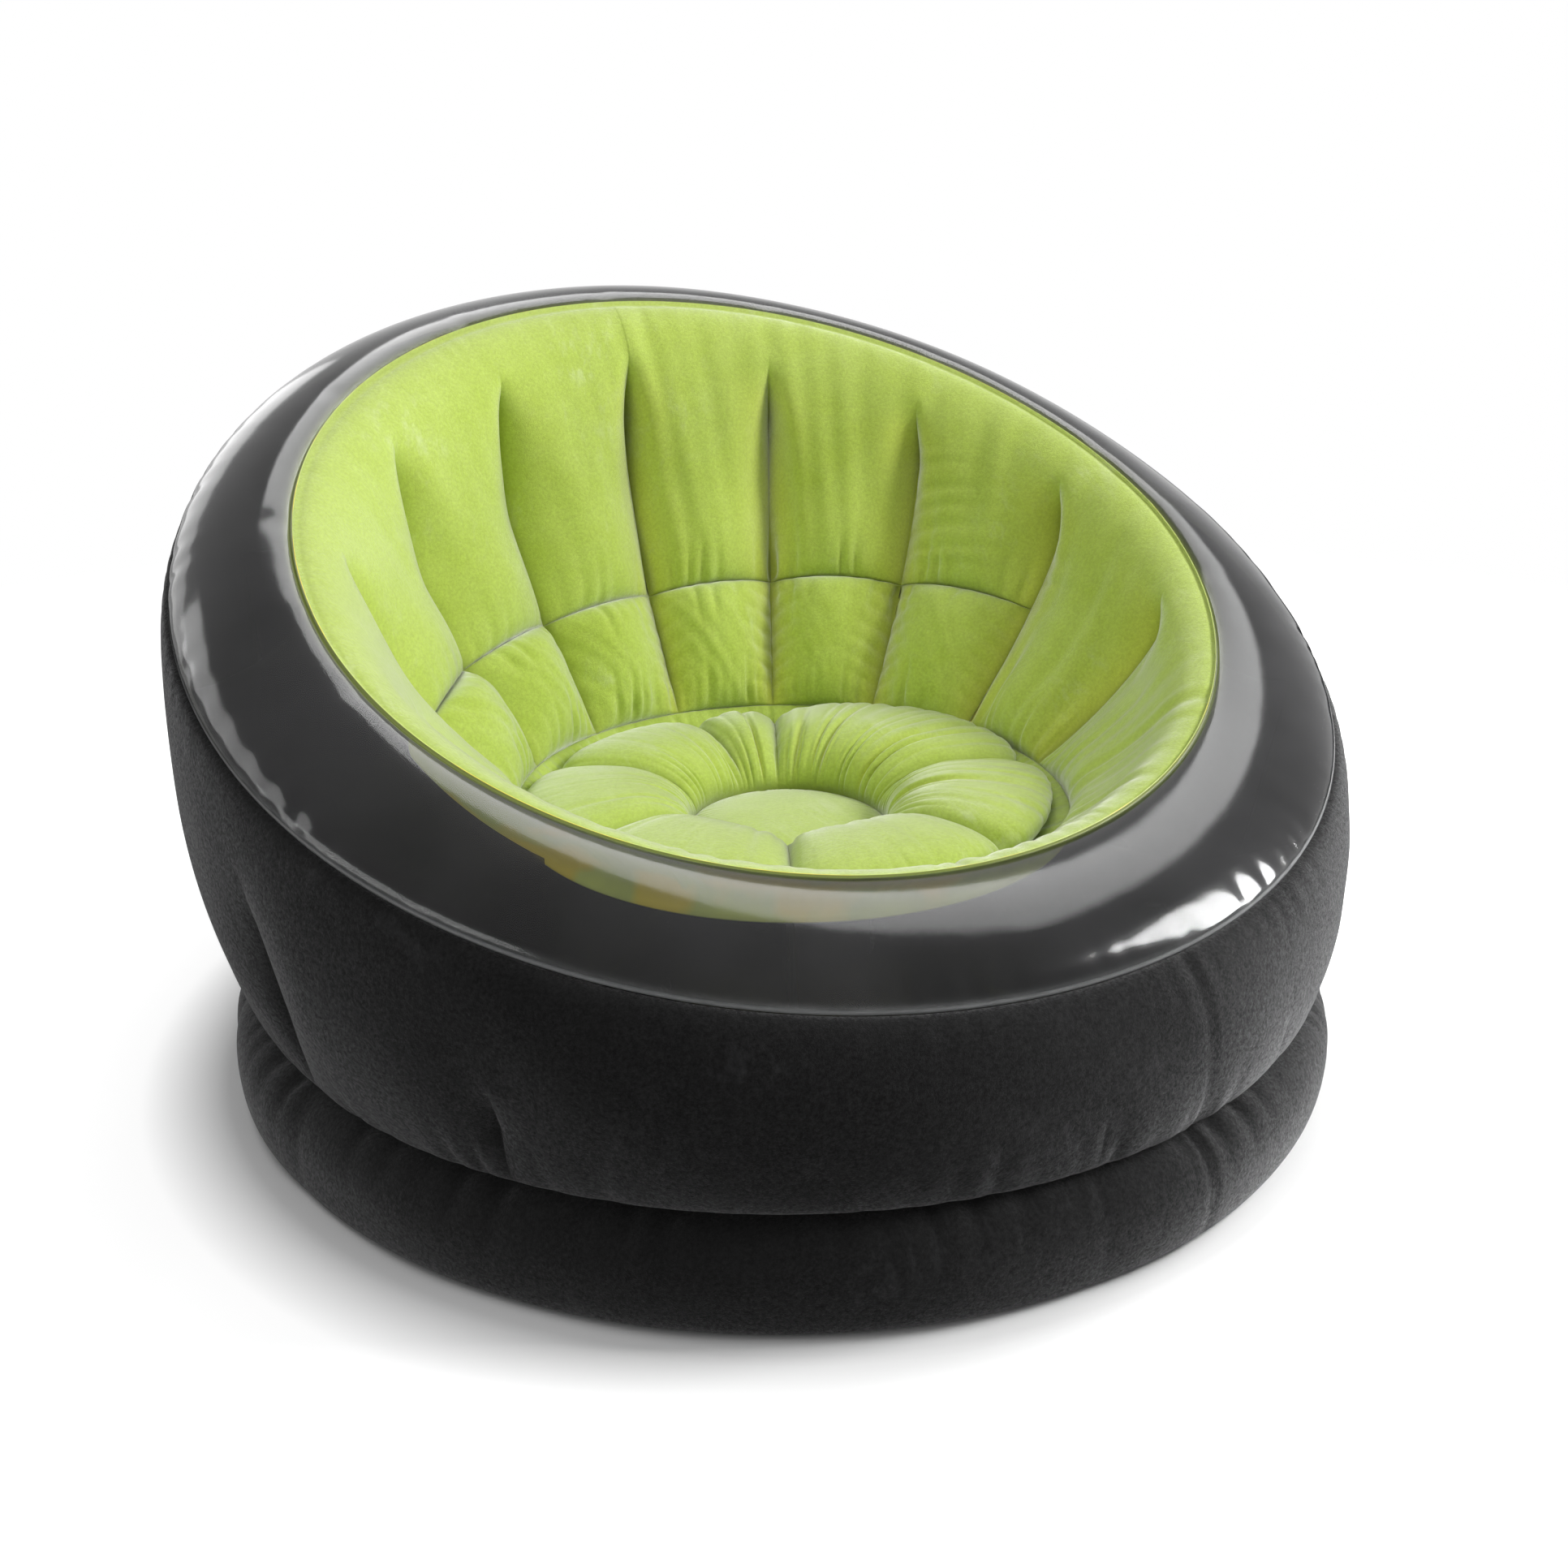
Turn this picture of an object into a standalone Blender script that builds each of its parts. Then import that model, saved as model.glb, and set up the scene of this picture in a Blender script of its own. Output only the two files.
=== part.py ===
"""Inflatable bucket chair, built from its welded vinyl sheets, inner webs and air valve.

The chair faces -Y and stands on z = 0, centred on the Z axis. Every sheet is worked out
column by column: a column is a half plane through the Z axis, and in it each sheet is a
row of (radius, height) points. Neighbouring sheets use the same columns and the same
seam curves, so they meet along their welds at every size.
"""

import math

import bmesh
import bpy
from mathutils import Matrix, Vector

# Sheet stock and welds.
SHEET = 0.0004
WELD_GAP = 0.0003
WELD_LAP = 0.006
INNER_LAP = 0.005
RIM_FLANGE = 0.004
LIP_SLOPE = math.radians(30)
NOTCH_DEPTH_SHARE = 1.5
SHARP_EDGE = math.radians(50)
MERGE_DISTANCE = 0.00001

# Base tube.
BASE_RADIUS = 0.541
BASE_WIDEST_HEIGHT = 0.045
BOTTOM_RADIUS = 0.525
WAIST_RADIUS = 0.505
WAIST_HEIGHT = 0.094

# Outer rim seam, where the drum meets the clear rim.
OUTER_HALF_WIDTH = 0.550
OUTER_FRONT = 0.485
OUTER_BACK = 0.512
OUTER_FRONT_HEIGHT = 0.241
OUTER_BACK_HEIGHT = 0.664
OUTER_SIDE_DROP = 0.024

# Inner rim seam, where the clear rim meets the bowl.
INNER_HALF_WIDTH = 0.443
INNER_FRONT = 0.358
INNER_BACK = 0.399
INNER_FRONT_HEIGHT = 0.294
INNER_BACK_HEIGHT = 0.674
INNER_SIDE_DROP = 0.004

# How far the air pushes each skin out of the line between its seams.
DRUM_FRONT_BULGE = 0.030
DRUM_SIDE_BULGE = 0.024
DRUM_BACK_BULGE = 0.038
DRUM_DENT = 0.009
RIM_RISE = 0.022
BOWL_FRONT_RISE = 0.018
BOWL_BACK_RISE = 0.036
LUMBAR_RISE = 0.026
FOOT_RISE = 0.004
RING_RISE = 0.052
RING_CREASE = 0.018
RING_FRONT_OVERHANG = 0.022
RING_BACK_OVERHANG = 0.012
CENTRE_RISE = 0.014

# Bowl and seat.
SEAM_RISE = 0.172
FOOT_BAND = 0.042
FOOT_RADIUS = 0.232
FOOT_HEIGHT = 0.216
CENTRE_RADIUS = 0.098
CENTRE_HEIGHT = 0.207
SEAT_SETBACK = -0.016
CREASE_START_SHARE = 0.05
CREASE_END_SHARE = 0.20
BOWL_SAG_SHARE = 0.075
SPLIT_SHARE = 0.55
CROWN_POWER = 0.85
END_TOP_SHARE = 0.25
END_LOW_SHARE = 0.16
SLOPE_STEP_SHARE = 0.01
SEAM_LIFT_SHARE = 0.40
RING_TUCK_SHARE = 0.50

# Columns. Column 0 is at the middle of the back, and they run anticlockwise from above.
WEB_COUNT = 14
COLUMNS_PER_CHANNEL = 4
CREASE_REACH = 4
SEAM_REACH = 3
SEAT_WEB_PLACES = (0, 2, 4, 6, 8, 10, 13)
DRUM_ROWS = 6
RIM_ROWS = 4
RING_ROWS = 6

# Inner webs.
WEB_SHEET = 0.0004
WEB_TOP_ROW = 4
WEB_SCOOP_SHARE = 0.15
WEB_VENT_SHARE = 0.12
BASE_WEB_INNER = 0.140
BASE_WEB_CLEARANCE = 0.065
BASE_SCOOP_SHARE = 0.13
BASE_VENT_RADIUS = 0.014
SEAT_VENT_RADIUS = 0.012
CORE_VENT_RADIUS = 0.012
WAIST_VENT_RADIUS = 0.030
WAIST_VENT_CIRCLE = 0.300
WAIST_CENTRE_VENT = 0.050
WAIST_VENT_TURN_SHARE = 0.25
WAIST_CENTRE_SIDES = 16
VENT_SIDES = 12
SCOOP_STEPS = 5

# Air valve, measured from the mean surface of the drum's skin. Its patch lies between
# this row of the drum and the next.
VALVE_ROW = 2
BORE_RADIUS = 0.0165
COLLAR_WALL = 0.0016
COLLAR_OUT = 0.0020
COLLAR_IN = 0.0130
FLANGE_RADIUS = 0.0280
FLANGE_THICK = 0.0012
PLUG_CLEARANCE = 0.0004
PLUG_DEPTH = 0.0080
PLUG_TAPER = 0.0019
PLUG_WALL = 0.0015
STOPPER_RADIUS = 0.0195
STOPPER_THICK = 0.0012
STRAP_WIDTH = 0.0090
STRAP_THICK = 0.0014
STRAP_REACH = 0.0030
TAB_REACH = 0.0045
TUBE_BORE = 0.0075
TUBE_WALL = 0.0015
FLAP_SEAT_DEPTH = 0.0060
FLAP_SEAT_THICK = 0.0012
FLAP_OPENING = 0.0055
FLAP_RADIUS = 0.0070
FLAP_THICK = 0.0009
CAP_RADIUS = 0.0105
CAP_THICK = 0.0012
CAP_PLUG_DEPTH = 0.0045
CAP_PLUG_WALL = 0.0012
CAP_PLUG_TAPER = 0.0006
CAP_STRAP_WIDTH = 0.0060
VALVE_STEPS = 28
CUT_OVERRUN = 0.004

LAYER = SHEET + WELD_GAP
COLUMN_COUNT = WEB_COUNT * COLUMNS_PER_CHANNEL
COLUMN_STEP = 2 * math.pi / COLUMN_COUNT
SEAM_END = SEAM_REACH * COLUMNS_PER_CHANNEL
CREASE_END = CREASE_REACH * COLUMNS_PER_CHANNEL


def start_scene():
    """Empty scene with one collection for the chair and one for its cutters."""
    for old in list(bpy.data.objects):
        bpy.data.objects.remove(old, do_unlink=True)
    chair = bpy.data.collections.new("inflatable_chair")
    cutters = bpy.data.collections.new("cutters")
    bpy.context.scene.collection.children.link(chair)
    bpy.context.scene.collection.children.link(cutters)
    return chair, cutters


def plain_material(name, colour, roughness, alpha=1.0):
    """Principled material in one colour."""
    material = bpy.data.materials.new(name)
    material.use_nodes = True
    shader = material.node_tree.nodes["Principled BSDF"]
    shader.inputs["Base Color"].default_value = (*colour, 1.0)
    shader.inputs["Roughness"].default_value = roughness
    shader.inputs["Metallic"].default_value = 0.0
    shader.inputs["Alpha"].default_value = alpha
    material.diffuse_color = (*colour, alpha)
    return material


# Curves of the seams, each a function of the column's angle.


def column_angle(column):
    return math.pi / 2 + column * COLUMN_STEP


def mix(first, second, share):
    return first + (second - first) * share


def seam_point(angle, half_width, front, back, front_height, back_height, side_drop):
    """Tilted oval seam: (radius, height) where this column crosses it."""
    depth = back if math.sin(angle) > 0 else front
    across = math.hypot(depth * math.cos(angle), half_width * math.sin(angle))
    radius = half_width * depth / across
    share = radius * math.sin(angle) / depth
    height = mix(front_height, back_height, (share + 1) / 2) - side_drop * (1 - share**2)
    return radius, height


def outer_seam(angle):
    return seam_point(
        angle,
        OUTER_HALF_WIDTH,
        OUTER_FRONT,
        OUTER_BACK,
        OUTER_FRONT_HEIGHT,
        OUTER_BACK_HEIGHT,
        OUTER_SIDE_DROP,
    )


def inner_seam(angle):
    return seam_point(
        angle,
        INNER_HALF_WIDTH,
        INNER_FRONT,
        INNER_BACK,
        INNER_FRONT_HEIGHT,
        INNER_BACK_HEIGHT,
        INNER_SIDE_DROP,
    )


def set_back_circle(angle, radius):
    """Radius, from the Z axis, of a circle whose centre is set back along Y."""
    along = SEAT_SETBACK * math.sin(angle)
    return along + math.sqrt(radius**2 - (SEAT_SETBACK * math.cos(angle)) ** 2)


def foot_seam(angle):
    return set_back_circle(angle, FOOT_RADIUS), FOOT_HEIGHT


def centre_seam(angle):
    return set_back_circle(angle, CENTRE_RADIUS), CENTRE_HEIGHT


# Small tools for points in a column.


def step(point, direction, distance):
    return point[0] + direction[0] * distance, point[1] + direction[1] * distance


def between(start, end, share):
    return mix(start[0], end[0], share), mix(start[1], end[1], share)


def unit(start, end):
    length = math.dist(start, end)
    return (end[0] - start[0]) / length, (end[1] - start[1]) / length


def left_of(direction):
    return -direction[1], direction[0]


def right_of(direction):
    return direction[1], -direction[0]


def eased(share):
    share = min(max(share, 0.0), 1.0)
    return share * share * (3 - 2 * share)


def round_rise(share):
    """Half an ellipse: 0 at both ends and 1 in the middle."""
    return math.sqrt(max(4 * share * (1 - share), 0.0))


def round_shares(rows):
    """Row places that crowd towards both ends, where a blown skin turns most."""
    return [(1 - math.cos(math.pi * row / rows)) / 2 for row in range(rows + 1)]


def backness(angle):
    return (1 + math.sin(angle)) / 2


# Skins, each as one column's row of (radius, height) points.

LIP_DIRECTION = (-math.cos(LIP_SLOPE), -math.sin(LIP_SLOPE))
DRUM_SHARES = round_shares(DRUM_ROWS)
RIM_SHARES = round_shares(RIM_ROWS)
RING_SHARES = round_shares(RING_ROWS)
UPPER_SHARES = (0.0, 0.07, 0.2, 0.42, 0.66, 0.88, 1.0)
LOWER_SHARES = (0.0, 0.22, 0.6, 1.0)
BAND_SHARES = (0.0, 0.5, 1.0)
CENTRE_SHARES = (1.0, 0.72, 0.38)
TURN_SHARES = (0.0, 0.5, 1.0)


def base_side_rows(column):
    floor = SHEET / 2 + LAYER
    rows = [(BOTTOM_RADIUS - WELD_LAP, floor)]
    for share in TURN_SHARES:
        turn = share * math.pi / 2
        radius = mix(BOTTOM_RADIUS, BASE_RADIUS, math.sin(turn))
        rows.append((radius, mix(BASE_WIDEST_HEIGHT, floor, math.cos(turn))))
    top = WAIST_HEIGHT - LAYER
    for share in TURN_SHARES[1:]:
        turn = share * math.pi / 2
        radius = mix(WAIST_RADIUS, BASE_RADIUS, math.cos(turn))
        rows.append((radius, mix(BASE_WIDEST_HEIGHT, top, math.sin(turn))))
    rows.append((WAIST_RADIUS - WELD_LAP, top))
    return rows


def drum_point(column, share):
    """Drum skin between the waist and the outer seam, dented where a web pulls it in."""
    angle = column_angle(column)
    low = (WAIST_RADIUS, WAIST_HEIGHT + LAYER)
    high = step(outer_seam(angle), right_of(LIP_DIRECTION), -LAYER / 2)
    bulge = mix(DRUM_FRONT_BULGE, DRUM_BACK_BULGE, backness(angle))
    bulge = mix(bulge, DRUM_SIDE_BULGE, math.cos(angle) ** 2)
    point = step(between(low, high, share), (1, 0), bulge * round_rise(share))
    if column % COLUMNS_PER_CHANNEL == 0:
        pull = math.sin(math.pi * min(share / DRUM_SHARES[WEB_TOP_ROW], 1.0))
        point = step(point, (-1, 0), DRUM_DENT * pull)
    return point


def drum_rows(column):
    rows = [(WAIST_RADIUS - WELD_LAP, WAIST_HEIGHT + LAYER)]
    rows += [drum_point(column, share) for share in DRUM_SHARES]
    rows.append(step(rows[-1], LIP_DIRECTION, WELD_LAP))
    return rows


def rim_rows(column):
    angle = column_angle(column)
    outer = step(outer_seam(angle), right_of(LIP_DIRECTION), LAYER / 2)
    inner = step(inner_seam(angle), (1, 0), LAYER / 2)
    up = right_of(unit(outer, inner))
    rows = [step(outer, LIP_DIRECTION, WELD_LAP)]
    for share in RIM_SHARES:
        rows.append(step(between(outer, inner, share), up, RIM_RISE * round_rise(share)))
    rows.append(step(inner, (0, 1), RIM_FLANGE))
    return rows


def bowl_length(column):
    angle = column_angle(column)
    return math.dist(inner_seam(angle), foot_seam(angle))


def band_share(column):
    """Where down the bowl the low weld line lies, 0 at the rim and 1 at the foot."""
    return 1 - FOOT_BAND / bowl_length(column)


def split_share(column):
    """Where the upper rows end: at the horizontal seam where there is one."""
    seam = 1 - SEAM_RISE / bowl_length(column)
    return max(seam, SPLIT_SHARE * band_share(column))


def bowl_line(column, share):
    """Line that the creases follow, hollow under the blown pillows."""
    angle = column_angle(column)
    top = step(inner_seam(angle), (-1, 0), LAYER / 2)
    foot = step(foot_seam(angle), (1, 0), LAYER / 2)
    sag = BOWL_SAG_SHARE * bowl_length(column) * 4 * share * (1 - share)
    radius, height = between(top, foot, share)
    return radius + sag, height - sag / 2


def bowl_inward(column, share):
    """Unit normal of the crease line, towards the sitter."""
    ahead = bowl_line(column, share + SLOPE_STEP_SHARE)
    behind = bowl_line(column, share - SLOPE_STEP_SHARE)
    return right_of(unit(behind, ahead))


def has_seam(column):
    return -SEAM_END <= signed(column) <= SEAM_END


def signed(column):
    """Column number from the middle of the back, negative on the +X side."""
    return (column + COLUMN_COUNT // 2) % COLUMN_COUNT - COLUMN_COUNT // 2


def crease_pull(column):
    """1 on a crease of the bowl and less beside it."""
    place = abs(signed(column))
    if place > CREASE_END or column % COLUMNS_PER_CHANNEL:
        return 0.0
    return 1.0


def channel_rise(column, full_rise):
    """Rise of the pillow at this column of its channel."""
    place = abs(signed(column))
    offset = column % COLUMNS_PER_CHANNEL
    if place > CREASE_END or offset == 0:
        return full_rise
    return full_rise * round_rise(offset / COLUMNS_PER_CHANNEL) ** CROWN_POWER


def end_rise(distance_share):
    """Quarter round from a seam into the blown skin."""
    left = 1 - min(max(distance_share, 0.0), 1.0)
    return math.sqrt(1 - left * left)


def bowl_point(column, share):
    angle = column_angle(column)
    full = mix(BOWL_FRONT_RISE, BOWL_BACK_RISE, backness(angle))
    end = split_share(column) if has_seam(column) else band_share(column)
    rise = channel_rise(column, full) * end_rise(share / END_TOP_SHARE)
    low_end = end_rise((end - share) / END_LOW_SHARE)
    rise *= mix(SEAM_LIFT_SHARE, 1, low_end) if has_seam(column) else low_end
    crease = eased((share - CREASE_START_SHARE) / (CREASE_END_SHARE - CREASE_START_SHARE))
    rise *= 1 - crease * crease_pull(column)
    return step(bowl_line(column, share), bowl_inward(column, share), rise)


def lumbar_point(column, across):
    """Skin of the short pillows. Their top follows the horizontal seam, lifted between webs."""
    top, low = split_share(column), band_share(column)
    share = mix(top, low, across)
    full = mix(BOWL_FRONT_RISE, BOWL_BACK_RISE, backness(column_angle(column)))
    lift = SEAM_LIFT_SHARE * channel_rise(column, full) * (1 - across) ** 2
    rise = channel_rise(column, LUMBAR_RISE) * round_rise(across) + lift
    rise *= 1 - crease_pull(column)
    return step(bowl_line(column, share), bowl_inward(column, share), rise)


def along_bowl(column, share, point, distance):
    """Point moved down the bowl, which keeps the two sheets of a seam apart."""
    return step(point, left_of(bowl_inward(column, share)), distance)


def outward(column, share):
    inward = bowl_inward(column, share)
    return -inward[0], -inward[1]


def cup_wall_upper_rows(column):
    split = split_share(column)
    rows = [bowl_point(column, share * split) for share in UPPER_SHARES]
    if has_seam(column):
        rows[-1] = along_bowl(column, split, rows[-1], -LAYER / 2)
    return [step(rows[0], (0, 1), RIM_FLANGE)] + rows


def cup_wall_lower_rows(column):
    """Rows below the split, for the columns that have no horizontal seam."""
    split, low = split_share(column), band_share(column)
    if has_seam(column):
        rows = [lumbar_point(column, across) for across in LOWER_SHARES[1:]]
    else:
        rows = [bowl_point(column, mix(split, low, share)) for share in LOWER_SHARES[1:]]
    rows[-1] = along_bowl(column, low, rows[-1], -LAYER / 2)
    return rows + [step(rows[-1], outward(column, low), INNER_LAP)]


def lumbar_rows(column):
    top, low = split_share(column), band_share(column)
    rows = [lumbar_point(column, across) for across in LOWER_SHARES]
    rows[0] = along_bowl(column, top, rows[0], LAYER / 2)
    rows[-1] = along_bowl(column, low, rows[-1], -LAYER / 2)
    first = step(rows[0], outward(column, top), INNER_LAP)
    return [first] + rows + [step(rows[-1], outward(column, low), INNER_LAP)]


def band_rows(column):
    low = band_share(column)
    rows = []
    for across in BAND_SHARES:
        share = mix(low, 1.0, across)
        rise = FOOT_RISE * round_rise(across)
        rows.append(step(bowl_line(column, share), bowl_inward(column, share), rise))
    rows[0] = along_bowl(column, low, rows[0], LAYER / 2)
    first = step(rows[0], outward(column, low), INNER_LAP)
    return [first] + rows + [step(rows[-1], (0, -1), INNER_LAP)]


def is_seat_crease(column):
    places = [place * COLUMNS_PER_CHANNEL for place in SEAT_WEB_PLACES]
    return column % COLUMN_COUNT in places


def ring_rows(column):
    """Seat ring, which overhangs its outer weld between its creases as a tyre does."""
    angle = column_angle(column)
    outer = step(foot_seam(angle), (-1, 0), LAYER / 2)
    inner = step(centre_seam(angle), (1, 0), LAYER / 2)
    rise = RING_RISE
    overhang = mix(RING_FRONT_OVERHANG, RING_BACK_OVERHANG, backness(angle))
    if is_seat_crease(column):
        rise -= RING_CREASE
        overhang *= RING_TUCK_SHARE
    rows = [step(outer, (0, -1), INNER_LAP)]
    for share in RING_SHARES:
        point = step(between(outer, inner, share), (0, 1), rise * round_rise(share))
        swell = 2 * round_rise(share) * max(1 - 2 * share, 0)
        rows.append(step(point, (1, 0), overhang * swell))
    rows.append(step(inner, (0, -1), INNER_LAP))
    return rows


def centre_rows(column):
    angle = column_angle(column)
    edge, height = step(centre_seam(angle), (-1, 0), LAYER / 2)
    rows = [(edge, height - INNER_LAP)]
    for share in CENTRE_SHARES:
        rows.append((edge * share, height + CENTRE_RISE * (1 - share * share)))
    return rows


# Sheets made from those rows.


def place(column, point, turn=0.0):
    angle = column_angle(column) + turn
    return Vector((point[0] * math.cos(angle), point[0] * math.sin(angle), point[1]))


def add_object(name, mesh, material, collection):
    obj = bpy.data.objects.new(name, mesh)
    mesh.materials.append(material)
    collection.objects.link(obj)
    return obj


def finish_sheet(name, bm, material, collection):
    """Open surface to a sheet of vinyl."""
    bmesh.ops.recalc_face_normals(bm, faces=bm.faces)
    mesh = bpy.data.meshes.new(name)
    bm.to_mesh(mesh)
    bm.free()
    mesh.shade_smooth()
    mesh.set_sharp_from_angle(angle=SHARP_EDGE)
    obj = add_object(name, mesh, material, collection)
    solidify = obj.modifiers.new("sheet", "SOLIDIFY")
    solidify.thickness = SHEET
    solidify.offset = 0
    solidify.use_even_offset = True
    return obj


def loft(bm, columns, closed):
    """Quads between neighbouring columns of vertices."""
    pairs = list(zip(columns, columns[1:]))
    if closed:
        pairs.append((columns[-1], columns[0]))
    for left, right in pairs:
        for row in range(len(left) - 1):
            bm.faces.new((left[row], right[row], right[row + 1], left[row + 1]))


def ring_sheet(name, rows_of, material, collection):
    """Sheet that runs all the way round."""
    bm = bmesh.new()
    columns = []
    for column in range(COLUMN_COUNT):
        columns.append([bm.verts.new(place(column, point)) for point in rows_of(column)])
    loft(bm, columns, closed=True)
    return finish_sheet(name, bm, material, collection)


def edge_turn(column, side):
    """Turn that keeps a sheet's side edge half a weld gap off its web's plane."""
    radius = bowl_line(column, split_share(column))[0]
    return side * LAYER / 2 / radius


def cup_wall_panel(material, collection):
    """Bowl wall: upper rows all round, lower rows only where no lumbar panel sits."""
    bm = bmesh.new()
    uppers = {}
    for column in range(COLUMN_COUNT):
        uppers[column] = [bm.verts.new(place(column, p)) for p in cup_wall_upper_rows(column)]
    loft(bm, [uppers[column] for column in range(COLUMN_COUNT)], closed=True)
    lowers = []
    for column in range(SEAM_END, COLUMN_COUNT - SEAM_END + 1):
        turn = 0.0
        if column == SEAM_END:
            turn = edge_turn(column, 1)
        if column == COLUMN_COUNT - SEAM_END:
            turn = edge_turn(column, -1)
        rows = [bm.verts.new(place(column, p, turn)) for p in cup_wall_lower_rows(column)]
        lowers.append([uppers[column % COLUMN_COUNT][-1]] + rows)
    loft(bm, lowers, closed=False)
    laps = []
    for column in range(-SEAM_END, SEAM_END + 1):
        edge = uppers[column % COLUMN_COUNT][-1]
        split = split_share(column)
        point = cup_wall_upper_rows(column)[-1]
        lap = step(point, outward(column, split), INNER_LAP)
        laps.append([edge, bm.verts.new(place(column, lap))])
    loft(bm, laps, closed=False)
    return finish_sheet("cup_wall_panel", bm, material, collection)


def lumbar_panel(material, collection):
    bm = bmesh.new()
    columns = []
    for column in range(-SEAM_END, SEAM_END + 1):
        turn = 0.0
        if abs(column) == SEAM_END:
            turn = edge_turn(column, -1 if column > 0 else 1)
        columns.append([bm.verts.new(place(column, p, turn)) for p in lumbar_rows(column)])
    loft(bm, columns, closed=False)
    return finish_sheet("lumbar_panel", bm, material, collection)


def seat_centre_panel(material, collection):
    """Domed disc, closed by one cap in its middle."""
    bm = bmesh.new()
    columns = []
    for column in range(COLUMN_COUNT):
        columns.append([bm.verts.new(place(column, p)) for p in centre_rows(column)])
    loft(bm, columns, closed=True)
    bm.faces.new([column[-1] for column in columns])
    return finish_sheet("seat_centre_panel", bm, material, collection)


def flat_sheet(name, outlines, thickness, material, collection):
    """Flat outline with holes, as a filled 2D curve extruded by half its thickness."""
    curve = bpy.data.curves.new(name, "CURVE")
    curve.dimensions = "2D"
    curve.fill_mode = "BOTH"
    curve.extrude = thickness / 2
    for outline in outlines:
        spline = curve.splines.new("POLY")
        spline.points.add(len(outline) - 1)
        for point, (x, y) in zip(spline.points, outline):
            point.co = (x, y, 0.0, 1.0)
        spline.use_cyclic_u = True
    obj = bpy.data.objects.new(name, curve)
    curve.materials.append(material)
    collection.objects.link(obj)
    return obj


def circle(centre, radius, count=COLUMN_COUNT, start=math.pi / 2):
    points = []
    for index in range(count):
        angle = start + 2 * math.pi * index / count
        points.append(step(centre, (math.cos(angle), math.sin(angle)), radius))
    return points


def bottom_panel(material, collection):
    outline = circle((0, 0), BOTTOM_RADIUS)
    obj = flat_sheet("bottom_panel", [outline], SHEET, material, collection)
    obj.location = (0, 0, SHEET / 2)
    return obj


def waist_diaphragm(material, collection):
    """Round sheet that holds the waist in, with vents between its webs."""
    outlines = [circle((0, 0), WAIST_RADIUS)]
    outlines.append(circle((0, 0), WAIST_CENTRE_VENT, WAIST_CENTRE_SIDES))
    for index in range(WEB_COUNT // 2):
        turn = (index + WAIST_VENT_TURN_SHARE) / (WEB_COUNT // 2)
        angle = math.pi / 2 + 2 * math.pi * turn
        centre = step((0, 0), (math.cos(angle), math.sin(angle)), WAIST_VENT_CIRCLE)
        outlines.append(circle(centre, WAIST_VENT_RADIUS, VENT_SIDES))
    obj = flat_sheet("waist_diaphragm", outlines, SHEET, material, collection)
    obj.location = (0, 0, WAIST_HEIGHT)
    return obj


# Inner webs, each drawn flat in its own column's plane.


def offset_path(points, distance):
    """Path moved to its left by the distance, with mitred corners."""
    moved = []
    for index, point in enumerate(points):
        before = unit(points[max(index - 1, 0)], points[max(index, 1)])
        after = unit(points[min(index, len(points) - 2)], points[min(index + 1, len(points) - 1)])
        first, second = left_of(before), left_of(after)
        bisector = (first[0] + second[0], first[1] + second[1])
        squared = bisector[0] ** 2 + bisector[1] ** 2
        moved.append(step(point, bisector, 2 * distance / squared))
    return moved


def with_notch(path, index):
    """Path with a notch to its right at one point, where a weld's laps pass through."""
    here = path[index]
    back = unit(here, path[index - 1])
    ahead = unit(here, path[index + 1])
    into = right_of(unit(path[index - 1], path[index + 1]))
    notch = [
        step(here, back, INNER_LAP),
        step(here, into, INNER_LAP * NOTCH_DEPTH_SHARE),
        step(here, ahead, INNER_LAP),
    ]
    return path[:index] + notch + path[index + 1 :]


def scoop(start, end, depth_share):
    """Free edge of a web, hollowed to the left of the way from start to end."""
    side = left_of(unit(start, end))
    depth = depth_share * math.dist(start, end)
    points = []
    for index in range(1, SCOOP_STEPS):
        share = index / SCOOP_STEPS
        hollow = 4 * share * (1 - share)
        points.append(step(between(start, end, share), side, depth * hollow))
    return points


def stand_in_column(obj, column):
    """Turns a flat outline upright, its X along the column's radius."""
    obj.rotation_euler = (math.pi / 2, 0, column_angle(column))


def bowl_path(column):
    """Skin of the bowl in a web's plane, from the foot up, with the places of its notches."""
    band = band_rows(column)
    path = [band[3], band[2]]
    if not crease_pull(column):
        return path, []
    path.append(band[1])
    upper = [bowl_point(column, share * split_share(column)) for share in UPPER_SHARES]
    if has_seam(column):
        lower = lumbar_rows(column)[1:4]
    else:
        lower = [upper[-1]] + cup_wall_lower_rows(column)[:2]
    path += lower[::-1] + upper[-2:1:-1]
    return path, [5, 2] if has_seam(column) else [2]


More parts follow.
